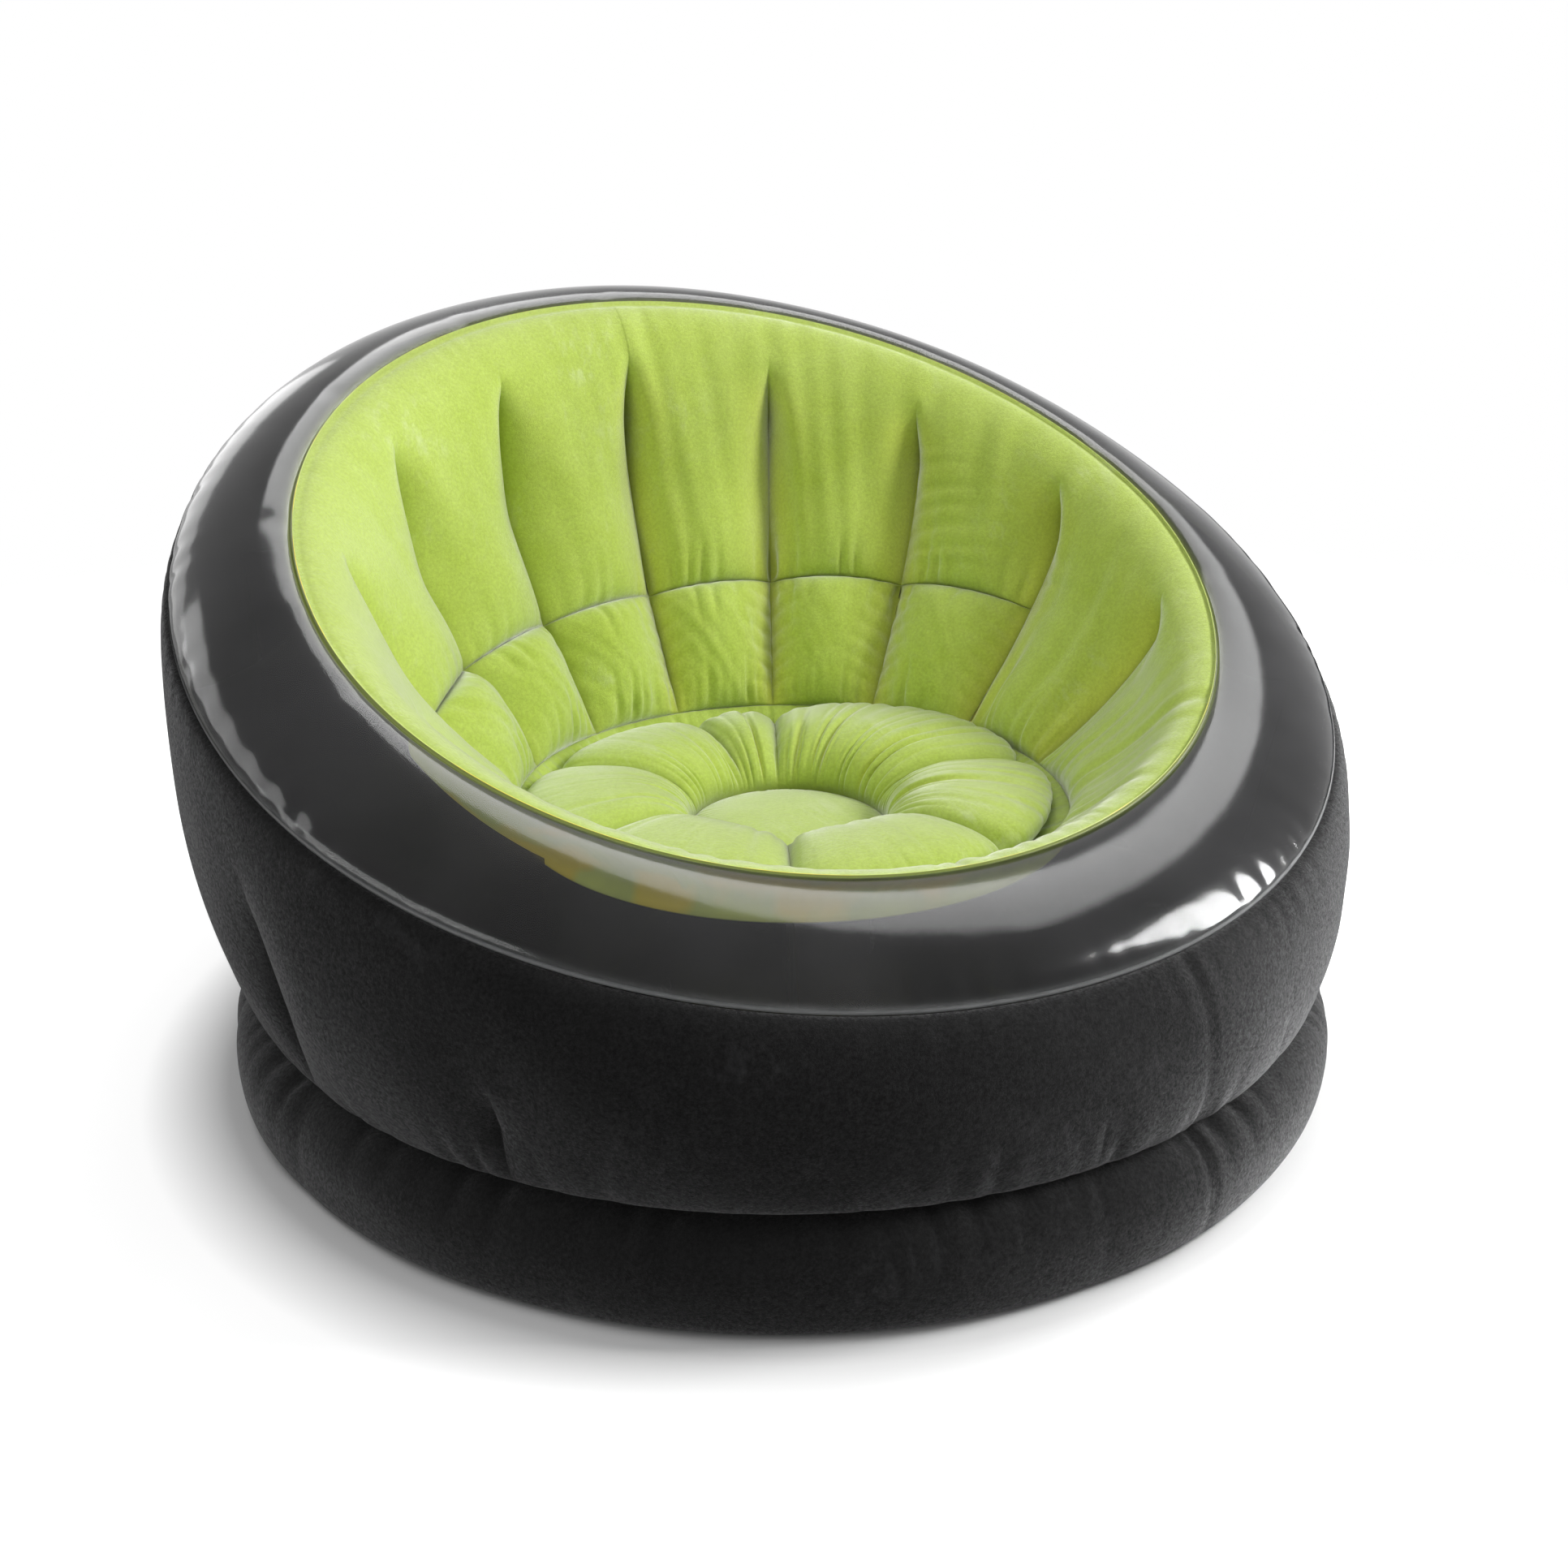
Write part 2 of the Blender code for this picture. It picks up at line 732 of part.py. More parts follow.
def wall_web(index, material, collection):
    """Web between the drum and the bowl. In front of the last crease it stops low."""
    column = index * COLUMNS_PER_CHANNEL
    inset = SHEET / 2 + WELD_GAP
    floor = WAIST_HEIGHT + LAYER + SHEET + WELD_GAP
    drum = [drum_point(column, share) for share in DRUM_SHARES[1 : WEB_TOP_ROW + 1]]
    drum_side = offset_path(drum, inset)
    path, notches = bowl_path(column)
    bowl_side = offset_path(path, -inset)
    for notch in notches:
        bowl_side = with_notch(bowl_side, notch)
    lap_end = band_rows(column)[-1]
    stem = (lap_end[0] + inset + WELD_GAP, floor)
    bowl_side = [stem, (stem[0], lap_end[1])] + bowl_side[1:]
    low = (WAIST_RADIUS - WELD_LAP - LAYER, floor)
    top = scoop(drum_side[-1], bowl_side[-1], WEB_SCOOP_SHARE)
    outline = [low] + drum_side + top + bowl_side[::-1]
    middle = between(low, stem, 1 / 2)
    vent_radius = WEB_VENT_SHARE * (OUTER_FRONT_HEIGHT - WAIST_HEIGHT)
    vent = circle(step(middle, (0, 2), vent_radius), vent_radius, VENT_SIDES)
    name = f"wall_web_{index + 1:02d}"
    obj = flat_sheet(name, [outline, vent], WEB_SHEET, material, collection)
    stand_in_column(obj, column)


def seat_web(number, place_index, material, collection):
    """Web under a crease of the seat ring."""
    column = place_index * COLUMNS_PER_CHANNEL
    inset = SHEET + WELD_GAP
    rows = ring_rows(column)
    top = offset_path(rows[1:-1], inset)[1:-1]
    floor = WAIST_HEIGHT + inset
    outer = rows[0][0] - inset - WELD_GAP
    inner = rows[-1][0] + inset + WELD_GAP
    side_height = rows[0][1]
    outline = [(outer, floor), (outer, side_height)] + top
    outline += [(inner, rows[-1][1]), (inner, floor)]
    centre = ((outer + inner) / 2, (floor + side_height) / 2)
    vent = circle(centre, SEAT_VENT_RADIUS, VENT_SIDES)
    name = f"seat_web_{number:02d}"
    obj = flat_sheet(name, [outline, vent], WEB_SHEET, material, collection)
    stand_in_column(obj, column)


def base_web(number, place_index, material, collection):
    """Tie between the bottom and the waist sheet, with scooped ends."""
    low = SHEET + WELD_GAP
    high = WAIST_HEIGHT - SHEET / 2 - WELD_GAP
    far = min(WAIST_RADIUS, BOTTOM_RADIUS) - BASE_WEB_CLEARANCE
    near = BASE_WEB_INNER
    corners = [(near, low), (far, low), (far, high), (near, high)]
    outline = [corners[0], corners[1]]
    outline += scoop(corners[1], corners[2], BASE_SCOOP_SHARE)
    outline += [corners[2], corners[3]]
    outline += scoop(corners[3], corners[0], BASE_SCOOP_SHARE)
    outlines = [outline]
    for share in (1 / 3, 2 / 3):
        centre = (mix(near, far, share), (low + high) / 2)
        outlines.append(circle(centre, BASE_VENT_RADIUS, VENT_SIDES))
    name = f"base_web_{number:02d}"
    obj = flat_sheet(name, outlines, WEB_SHEET, material, collection)
    stand_in_column(obj, place_index * COLUMNS_PER_CHANNEL)


def cutter_cylinder(name, radius, depth, matrix, cutters, sides):
    bm = bmesh.new()
    bmesh.ops.create_cone(
        bm, cap_ends=True, segments=sides, radius1=radius, radius2=radius, depth=depth
    )
    mesh = bpy.data.meshes.new(name)
    bm.to_mesh(mesh)
    bm.free()
    obj = bpy.data.objects.new(name, mesh)
    obj.matrix_world = matrix
    obj.hide_render = True
    obj.display_type = "WIRE"
    cutters.objects.link(obj)
    return obj


def cut(obj, cutter, operation="DIFFERENCE"):
    boolean = obj.modifiers.new(cutter.name, "BOOLEAN")
    boolean.operation = operation
    boolean.solver = "EXACT"
    boolean.object = cutter


def seat_core_web(material, collection, cutters):
    """Round web under the edge of the seat's centre, vented on four sides."""
    low = WAIST_HEIGHT + SHEET / 2 + WELD_GAP
    high = CENTRE_HEIGHT - INNER_LAP - WELD_GAP
    bm = bmesh.new()
    columns = []
    for index in range(0, COLUMN_COUNT, 2):
        x, y = circle((0, SEAT_SETBACK), CENTRE_RADIUS)[index]
        columns.append([bm.verts.new((x, y, low)), bm.verts.new((x, y, high))])
    loft(bm, columns, closed=True)
    obj = finish_sheet("seat_core_web", bm, material, collection)
    middle = Vector((0, SEAT_SETBACK, (low + high) / 2))
    for number, turn in enumerate((math.pi / 4, -math.pi / 4)):
        matrix = Matrix.Translation(middle) @ Matrix.Rotation(turn, 4, "Z")
        matrix = matrix @ Matrix.Rotation(math.pi / 2, 4, "X")
        depth = 2 * (CENTRE_RADIUS + CUT_OVERRUN)
        name = f"core_vent_cutter_{number + 1}"
        vent = cutter_cylinder(name, CORE_VENT_RADIUS, depth, matrix, cutters, VENT_SIDES)
        cut(obj, vent)
    return obj


# Air valve. It sits at the +X side, on a patch of the drum that its flange holds flat.


def valve_column():
    return -COLUMN_COUNT // 4


def valve_axes():
    """Centre of the patch, with the valve's outward and upward directions."""
    column = valve_column()
    low = drum_point(column, DRUM_SHARES[VALVE_ROW])
    high = drum_point(column, DRUM_SHARES[VALVE_ROW + 1])
    along = unit(low, high)
    centre = between(low, high, 1 / 2)
    out = right_of(along)
    return (
        Vector((centre[0], 0, centre[1])),
        Vector((out[0], 0, out[1])),
        Vector((along[0], 0, along[1])),
    )


def valve_matrix():
    centre, out, up = valve_axes()
    side = out.cross(up)
    rotation = Matrix((up, side, out)).transposed().to_4x4()
    return Matrix.Translation(centre) @ rotation


def drum_side_panel(material, collection, cutters):
    """Drum skin, flat under the valve's flange and cut for its collar."""
    centre, out, _ = valve_axes()
    bm = bmesh.new()
    columns = []
    for column in range(COLUMN_COUNT):
        points = [place(column, point) for point in drum_rows(column)]
        if abs(signed(column - valve_column())) <= 1:
            for row in (VALVE_ROW + 1, VALVE_ROW + 2):
                outward_way = place(column, (1, 0))
                depth = (centre - points[row]).dot(out) / outward_way.dot(out)
                points[row] = points[row] + outward_way * depth
        columns.append([bm.verts.new(point) for point in points])
    loft(bm, columns, closed=True)
    obj = finish_sheet("drum_side_panel", bm, material, collection)
    hole = BORE_RADIUS + COLLAR_WALL + PLUG_CLEARANCE
    depth = 2 * CUT_OVERRUN
    matrix = valve_matrix()
    cut(obj, cutter_cylinder("valve_hole_cutter", hole, depth, matrix, cutters, VALVE_STEPS))
    return obj


def turned(name, profile, material, collection):
    """Closed profile of (radius, height) points turned about the object's Z axis."""
    bm = bmesh.new()
    verts = [bm.verts.new((radius, 0, height)) for radius, height in profile]
    on_axis = [abs(radius) == 0 for radius, _ in profile]
    for index, vert in enumerate(verts):
        if not (on_axis[index] and on_axis[(index + 1) % len(verts)]):
            bm.edges.new((vert, verts[(index + 1) % len(verts)]))
    mesh = bpy.data.meshes.new(name)
    bm.to_mesh(mesh)
    bm.free()
    obj = add_object(name, mesh, material, collection)
    screw = obj.modifiers.new("turn", "SCREW")
    screw.axis = "Z"
    screw.steps = VALVE_STEPS
    screw.render_steps = VALVE_STEPS
    screw.use_merge_vertices = True
    screw.merge_threshold = MERGE_DISTANCE
    screw.use_smooth_shade = True
    return obj


def box_cutter(name, low, high, cutters):
    """Box between two corners, used to add or take away."""
    bm = bmesh.new()
    bmesh.ops.create_cube(bm, size=1)
    size = [high[axis] - low[axis] for axis in range(3)]
    middle = [(high[axis] + low[axis]) / 2 for axis in range(3)]
    bmesh.ops.scale(bm, vec=size, verts=bm.verts)
    bmesh.ops.translate(bm, vec=middle, verts=bm.verts)
    mesh = bpy.data.meshes.new(name)
    bm.to_mesh(mesh)
    bm.free()
    obj = bpy.data.objects.new(name, mesh)
    obj.hide_render = True
    obj.display_type = "WIRE"
    cutters.objects.link(obj)
    return obj


def join_box(obj, name, low, high, cutters):
    box = box_cutter(name, low, high, cutters)
    box.parent = obj
    cut(obj, box, "UNION")


STOPPER_LOW = COLLAR_OUT + WELD_GAP
STOPPER_TOP = STOPPER_LOW + STOPPER_THICK
STOPPER_HINGE = (STOPPER_RADIUS + STRAP_REACH, 0, COLLAR_OUT + WELD_GAP / 2)
CAP_LOW = STOPPER_TOP + WELD_GAP
CAP_TOP = CAP_LOW + CAP_THICK
CAP_HINGE = (-(STOPPER_RADIUS + WELD_GAP), 0, STOPPER_TOP + WELD_GAP / 2)
FLAP_SEAT_LOW = STOPPER_LOW - FLAP_SEAT_DEPTH - FLAP_SEAT_THICK
FLAP_HINGE = (FLAP_RADIUS + WELD_GAP, 0, FLAP_SEAT_LOW - WELD_GAP / 2)


def empty(name, place_at, parent, collection):
    """Empty at a place given in the valve's own frame, which its children keep."""
    obj = bpy.data.objects.new(name, None)
    obj.location = place_at
    obj.parent = parent
    collection.objects.link(obj)
    return obj


def valve_body(frame, material, collection, cutters):
    """Collar through the skin, its weld flange inside, and the lug of the strap."""
    outer = BORE_RADIUS + COLLAR_WALL
    face = -(SHEET / 2 + WELD_GAP)
    profile = [
        (outer, COLLAR_OUT),
        (outer, face),
        (FLANGE_RADIUS, face),
        (FLANGE_RADIUS, face - FLANGE_THICK),
        (outer, face - FLANGE_THICK),
        (outer, -COLLAR_IN),
        (BORE_RADIUS, -COLLAR_IN),
        (BORE_RADIUS, COLLAR_OUT),
    ]
    obj = turned("valve_body", profile, material, collection)
    obj.parent = frame
    low = (BORE_RADIUS + COLLAR_WALL / 2, -STRAP_WIDTH / 2, COLLAR_OUT - STRAP_THICK)
    high = (STOPPER_HINGE[0] - WELD_GAP, STRAP_WIDTH / 2, COLLAR_OUT)
    join_box(obj, "strap_lug_shape", low, high, cutters)


def valve_stopper(hinge, material, collection, cutters):
    """Wide stopper with its tapered plug, blow-up tube, strap and pull tab."""
    plug = BORE_RADIUS - PLUG_CLEARANCE
    tube = TUBE_BORE + TUBE_WALL
    seat = STOPPER_LOW - FLAP_SEAT_DEPTH
    profile = [
        (STOPPER_RADIUS, STOPPER_TOP),
        (STOPPER_RADIUS, STOPPER_LOW),
        (plug, STOPPER_LOW),
        (plug - PLUG_TAPER, -PLUG_DEPTH),
        (plug - PLUG_TAPER - PLUG_WALL, -PLUG_DEPTH),
        (plug - PLUG_WALL, STOPPER_LOW),
        (tube, STOPPER_LOW),
        (tube, FLAP_SEAT_LOW),
        (FLAP_OPENING, FLAP_SEAT_LOW),
        (FLAP_OPENING, seat),
        (TUBE_BORE, seat),
        (TUBE_BORE, STOPPER_TOP),
    ]
    obj = turned("valve_stopper", profile, material, collection)
    obj.parent = hinge
    obj.location = -hinge.location
    half = STRAP_WIDTH / 2
    start = STOPPER_RADIUS - STRAP_REACH
    reach = STOPPER_HINGE[0]
    low, high = (start, -half, STOPPER_LOW), (reach, half, STOPPER_TOP)
    join_box(obj, "strap_shape", low, high, cutters)
    reach = STOPPER_RADIUS + TAB_REACH
    low, high = (-half, -reach, STOPPER_LOW), (half, -start, STOPPER_TOP)
    join_box(obj, "tab_shape", low, high, cutters)


def valve_cap(hinge, stopper_hinge, material, collection, cutters):
    """Small cap in the stopper's tube, hollow from inside, with its strap."""
    plug = TUBE_BORE - PLUG_CLEARANCE
    depth = STOPPER_TOP - CAP_PLUG_DEPTH
    profile = [
        (0.0, CAP_TOP),
        (CAP_RADIUS, CAP_TOP),
        (CAP_RADIUS, CAP_LOW),
        (plug, CAP_LOW),
        (plug - CAP_PLUG_TAPER, depth),
        (plug - CAP_PLUG_TAPER - CAP_PLUG_WALL, depth),
        (plug - CAP_PLUG_WALL, CAP_LOW),
        (0.0, CAP_LOW),
    ]
    obj = turned("valve_cap", profile, material, collection)
    obj.parent = hinge
    obj.location = -hinge.location - stopper_hinge.location
    half = CAP_STRAP_WIDTH / 2
    start = CAP_RADIUS - CAP_PLUG_WALL
    low, high = (CAP_HINGE[0], -half, CAP_LOW), (-start, half, CAP_TOP)
    join_box(obj, "cap_strap_shape", low, high, cutters)


def valve_flap(hinge, stopper_hinge, material, collection):
    """Soft disc that the air pushes shut against the end of the tube."""
    top = FLAP_SEAT_LOW - WELD_GAP
    profile = [
        (0.0, top),
        (FLAP_RADIUS, top),
        (FLAP_RADIUS, top - FLAP_THICK),
        (0.0, top - FLAP_THICK),
    ]
    obj = turned("valve_flap", profile, material, collection)
    obj.parent = hinge
    obj.location = -hinge.location - stopper_hinge.location


def air_valve(materials, collection, cutters):
    frame = empty("valve_frame", (0, 0, 0), None, collection)
    frame.matrix_world = valve_matrix()
    stopper_hinge = empty("stopper_hinge", STOPPER_HINGE, frame, collection)
    offset = Vector(STOPPER_HINGE)
    cap_hinge = empty("cap_hinge", Vector(CAP_HINGE) - offset, stopper_hinge, collection)
    flap_hinge = empty("flap_hinge", Vector(FLAP_HINGE) - offset, stopper_hinge, collection)
    valve_body(frame, materials["valve"], collection, cutters)
    valve_stopper(stopper_hinge, materials["stopper"], collection, cutters)
    valve_cap(cap_hinge, stopper_hinge, materials["stopper"], collection, cutters)
    valve_flap(flap_hinge, stopper_hinge, materials["flap"], collection)


def main():
    chair, cutters = start_scene()
    materials = {
        "black": plain_material("black_flock", (0.018, 0.018, 0.020), 0.95),
        "lime": plain_material("lime_flock", (0.42, 0.60, 0.10), 0.90),
        "clear": plain_material("smoke_vinyl", (0.30, 0.31, 0.32), 0.10, 0.45),
        "web": plain_material("web_vinyl", (0.45, 0.46, 0.44), 0.35, 0.60),
        "valve": plain_material("valve_grey", (0.10, 0.10, 0.11), 0.45),
        "stopper": plain_material("stopper_grey", (0.22, 0.22, 0.23), 0.45),
        "flap": plain_material("flap_clear", (0.60, 0.60, 0.58), 0.30),
    }
    bottom_panel(materials["black"], chair)
    ring_sheet("base_side_panel", base_side_rows, materials["black"], chair)
    waist_diaphragm(materials["web"], chair)
    drum_side_panel(materials["black"], chair, cutters)
    ring_sheet("rim_panel", rim_rows, materials["clear"], chair)
    cup_wall_panel(materials["lime"], chair)
    lumbar_panel(materials["lime"], chair)
    ring_sheet("foot_band_panel", band_rows, materials["lime"], chair)
    ring_sheet("seat_ring_panel", ring_rows, materials["lime"], chair)
    seat_centre_panel(materials["lime"], chair)
    for index in range(WEB_COUNT):
        wall_web(index, materials["web"], chair)
    for number, place_index in enumerate(SEAT_WEB_PLACES):
        seat_web(number + 1, place_index, materials["web"], chair)
        base_web(number + 1, place_index, materials["web"], chair)
    seat_core_web(materials["web"], chair, cutters)
    air_valve(materials, chair, cutters)


main()
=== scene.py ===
"""Looks of the inflatable bucket chair: blown skins with their gathers, flock and clear vinyl."""

import math

import bmesh
import bpy
import numpy as np
from mathutils import Matrix, Vector

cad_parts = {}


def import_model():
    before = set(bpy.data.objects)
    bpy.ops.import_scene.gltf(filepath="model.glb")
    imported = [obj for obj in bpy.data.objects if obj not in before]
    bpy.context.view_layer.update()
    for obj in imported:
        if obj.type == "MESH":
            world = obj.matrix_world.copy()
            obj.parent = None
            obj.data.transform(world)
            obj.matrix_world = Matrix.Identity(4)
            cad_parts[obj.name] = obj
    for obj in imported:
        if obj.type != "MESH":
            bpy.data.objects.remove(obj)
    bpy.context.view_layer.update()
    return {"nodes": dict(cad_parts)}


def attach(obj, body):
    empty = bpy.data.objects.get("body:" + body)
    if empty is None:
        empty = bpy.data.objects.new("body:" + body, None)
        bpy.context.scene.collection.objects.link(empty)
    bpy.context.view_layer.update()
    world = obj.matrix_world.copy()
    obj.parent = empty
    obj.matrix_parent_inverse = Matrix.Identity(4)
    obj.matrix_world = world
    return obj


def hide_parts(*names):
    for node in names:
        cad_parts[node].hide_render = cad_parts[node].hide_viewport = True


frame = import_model()

# Sizes of the model, in metres, as the CAD has them. LAYER is the step from one sheet of a weld
# to the next. TUCK, LAP and FLANGE are what lies behind the outer, inner and rim welds.
SHEET, LAYER = 0.0004, 0.0007
TUCK, LAP, FLANGE = 0.006, 0.005, 0.004
LIP = (-math.cos(math.radians(30)), -math.sin(math.radians(30)))
BASE_RADIUS, BASE_WIDEST = 0.541, 0.045
BOTTOM_RADIUS, WAIST_RADIUS, WAIST_HEIGHT = 0.525, 0.505, 0.094
# The rim's two seams: half width, depth to the front and the back, height there, and side drop.
OUTER = (0.550, 0.485, 0.512, 0.241, 0.664, 0.024)
INNER = (0.443, 0.358, 0.399, 0.294, 0.674, 0.004)
# Bulges of the drum at the front, the sides and the back, and of the bowl at front and back.
DRUM_BULGES = (0.030, 0.024, 0.038)
BOWL_RISES = (0.018, 0.036)
RIM_RISE, LUMBAR_RISE, FOOT_RISE = 0.022, 0.026, 0.004
RING_RISE, RING_CREASE, CENTRE_RISE = 0.052, 0.018, 0.014
SEAM_RISE, FOOT_BAND = 0.172, 0.042
FOOT_RADIUS, FOOT_HEIGHT = 0.232, 0.216
CENTRE_RADIUS, CENTRE_HEIGHT, SETBACK = 0.098, 0.207, -0.016
SAG, SPLIT, SEAM_LIFT = 0.075, 0.55, 0.40
END_TOP, END_LOW = 0.25, 0.16
CHANNELS = 14
CHANNEL_ANGLE = 2 * math.pi / CHANNELS
SEAM_CHANNELS, CREASE_CHANNELS = 3, 4
SEAT_PLACES = (0, 2, 4, 6, 8, 10, 13)

# Shapes of the blown skins that go further than the CAD's plain solids. FOLDED_SIDE is the side
# of the bowl with more folds, WIDE_PILLOW the middle of the ring's widest pillow, and BASE_ARC
# the way over the base tube from the bottom to the waist.
WALL_PLUMP, LUMBAR_PLUMP, CREASE_FLOOR = 1.42, 1.45, 0.0016
CREASE_START, CREASE_END, TAPER_END = 0.080, 0.26, 0.34
SEAM_TILT, SEAM_HIGH_SIDE = 0.020, math.radians(20)
DRUM_DENT, DENT_TOP = 0.013, 0.75
RING_OVERHANGS = (0.026, 0.015)
FOLDED_SIDE, WIDE_PILLOW = math.radians(25), math.radians(25.7)
BASE_ARC = 0.115

# Gathers at the welds: depth, number round the turn, seed, sharpness and reach from the weld.
BASE_GATHERS = (0.0030, 96, 21, 2.2, 0.011)
DRUM_LOW_GATHERS = (0.0026, 90, 31, 2.4, 0.013)
DRUM_TOP_GATHERS = (0.0008, 130, 35, 1.5, 0.008)
RIM_GATHERS = (0.0010, 90, 43, 1.6, 0.008)
WALL_TOP_GATHERS = (0.0004, 96, 53, 1.8, 0.006)
WALL_SEAM_GATHERS = (0.0034, 96, 55, 2.6, 0.014)
WALL_LONG_GATHERS = (0.0052, 42, 57, 1.8, 0.050)
FOOT_GATHERS = (0.0018, 74, 95, 2.2, 0.010)
RING_INNER_GATHERS = (0.0028, 66, 93, 3.0, 0.014)
RING_OUTER_GATHERS = (0.0012, 90, 97, 2.4, 0.009)
DISC_GATHERS = (0.0010, 70, 101, 2.2, 0.006)

# Small uneven tucks in the top of the base tube: the web that each is at, and its depth.
BASE_TUCKS = ((3, 0.004), (4, 0.003), (7, 0.002), (9, 0.003), (12, 0.004))
BASE_TUCK_WIDTH, BASE_TUCK_REACH = 0.022, 0.030


# Numbers that wander, all from fixed seeds.

SINES, PEAK = 7, 1.2


def waves(x, low, high, seed):
    """Sum of sines whose wavelengths lie between low and high, about -1 to 1."""
    rng = np.random.default_rng(seed)
    total = np.zeros_like(x)
    for _ in range(SINES):
        length = math.exp(rng.uniform(math.log(low), math.log(high)))
        total = total + np.sin(2 * math.pi * x / length + rng.uniform(0, 2 * math.pi))
    return total / math.sqrt(SINES) / PEAK


def round_waves(angle, low, high, seed):
    """As waves, but it closes on itself after one turn. low and high are whole numbers."""
    rng = np.random.default_rng(seed)
    total = np.zeros_like(angle)
    for _ in range(SINES):
        total = total + np.sin(rng.integers(low, high + 1) * angle + rng.uniform(0, 2 * math.pi))
    return total / math.sqrt(SINES) / PEAK


def pleats(angle, number, seed, sharp):
    """Folds round the turn, 0 on their backs and 1 in their valleys, unevenly strong."""
    phase = number * angle + 2.2 * round_waves(angle, 5, 23, seed)
    fold = (0.5 + 0.5 * np.cos(phase)) ** sharp
    strength = np.clip(0.55 + 0.75 * round_waves(angle, 4, 31, seed + 1), 0.0, 1.3)
    return fold * strength


def fade(distance, length):
    """0 at a weld, 1 one length away from it, and gone some lengths further."""
    ratio = np.maximum(distance, 0.0) / length
    return ratio * np.exp(1 - ratio)


def gathers(angle, distance, folds):
    """Pleats that die away from a weld."""
    depth, number, seed, sharp, reach = folds
    return depth * pleats(angle, number, seed, sharp) * fade(distance, reach)


def line(distance, width):
    """Narrow mask: 1 on a weld or a crease, and gone some widths away from it."""
    return np.exp(-distance / width)


def eased(share):
    """Smooth step from 0 to 1."""
    share = np.clip(share, 0.0, 1.0)
    return share * share * (3 - 2 * share)


def round_rise(share):
    """Half an ellipse: 0 at shares 0 and 1, and 1 between them."""
    return np.sqrt(np.clip(4 * share * (1 - share), 0.0, None))


def blown(across, plump):
    """Arc of a circle over -1 to 1, 1 in its middle. plump is its height over its half width."""
    plump = np.clip(plump, 0.05, 0.95)
    circle = (1 + plump**2) / (2 * plump)
    reach = np.sqrt(np.maximum(circle**2 - across**2, 0.0))
    return (reach - (circle - plump)) / plump


def mix(first, second, share):
    return first + (second - first) * share


# Seams and webs, as in the CAD.


def seam(angle, sizes):
    """Radius and height of one of the rim's seams."""
    half_width, front, back, low, high, drop = sizes
    depth = np.where(np.sin(angle) > 0, back, front)
    radius = half_width * depth / np.hypot(depth * np.cos(angle), half_width * np.sin(angle))
    share = radius * np.sin(angle) / depth
    return radius, mix(low, high, (share + 1) / 2) - drop * (1 - share**2)


def set_back(angle, radius):
    """Radius from the chair's axis of a circle round the seat's own axis."""
    return SETBACK * np.sin(angle) + np.sqrt(radius**2 - (SETBACK * np.cos(angle)) ** 2)


def backness(angle):
    """0 at the front of the chair and 1 at its back."""
    return (1 + np.sin(angle)) / 2


def channel_phase(angle):
    """Place across the channel, 0 and 1 on its webs, and the channel's number from the back."""
    turns = (angle - math.pi / 2) / CHANNEL_ANGLE
    number = np.floor(turns)
    return turns - number, number


def web_distance(angle):
    """Signed number of channels between this angle and the middle of the back."""
    turns = (angle - math.pi / 2) / CHANNEL_ANGLE
    return (turns + CHANNELS / 2) % CHANNELS - CHANNELS / 2


def turn_from(angle, start):
    """Signed turn from one angle to another, within half a turn."""
    return (angle - start + math.pi) % (2 * math.pi) - math.pi


def web_at(number):
    return math.pi / 2 + number * CHANNEL_ANGLE


def web_angles(per_channel, crowd, start=0, count=CHANNELS):
    """Angles of the columns, closer together near the webs."""
    places = []
    for channel in range(start, start + count):
        for index in range(per_channel):
            even = index / per_channel
            round_place = (1 - math.cos(math.pi * even)) / 2
            places.append(channel + mix(even, round_place, crowd))
    return math.pi / 2 + np.array(places) * CHANNEL_ANGLE


def crowded(rows, crowd):
    """Shares of the rows, closer together near both ends."""
    even = np.linspace(0, 1, rows + 1)
    return mix(even, (1 - np.cos(math.pi * even)) / 2, crowd)


# Grids: arrays of points, one row of the array to a column of the skin.


def to_points(angle, radius, height):
    """Grid of points from their angle, radius and height."""
    angle, radius, height = np.broadcast_arrays(angle, radius, height)
    return np.stack([radius * np.cos(angle), radius * np.sin(angle), height], axis=-1)


def normals(grid, closed):
    """Normals of a grid, across its columns and down its rows."""
    if closed:
        across = np.roll(grid, -1, 0) - np.roll(grid, 1, 0)
    else:
        across = np.gradient(grid, axis=0)
    down = np.gradient(grid, axis=1)
    normal = np.cross(across, down)
    return normal / np.maximum(np.linalg.norm(normal, axis=-1, keepdims=True), 1e-9)


def displace(grid, amount, closed=True):
    """Grid pushed along its normals."""
    return grid + normals(grid, closed) * amount[..., None]


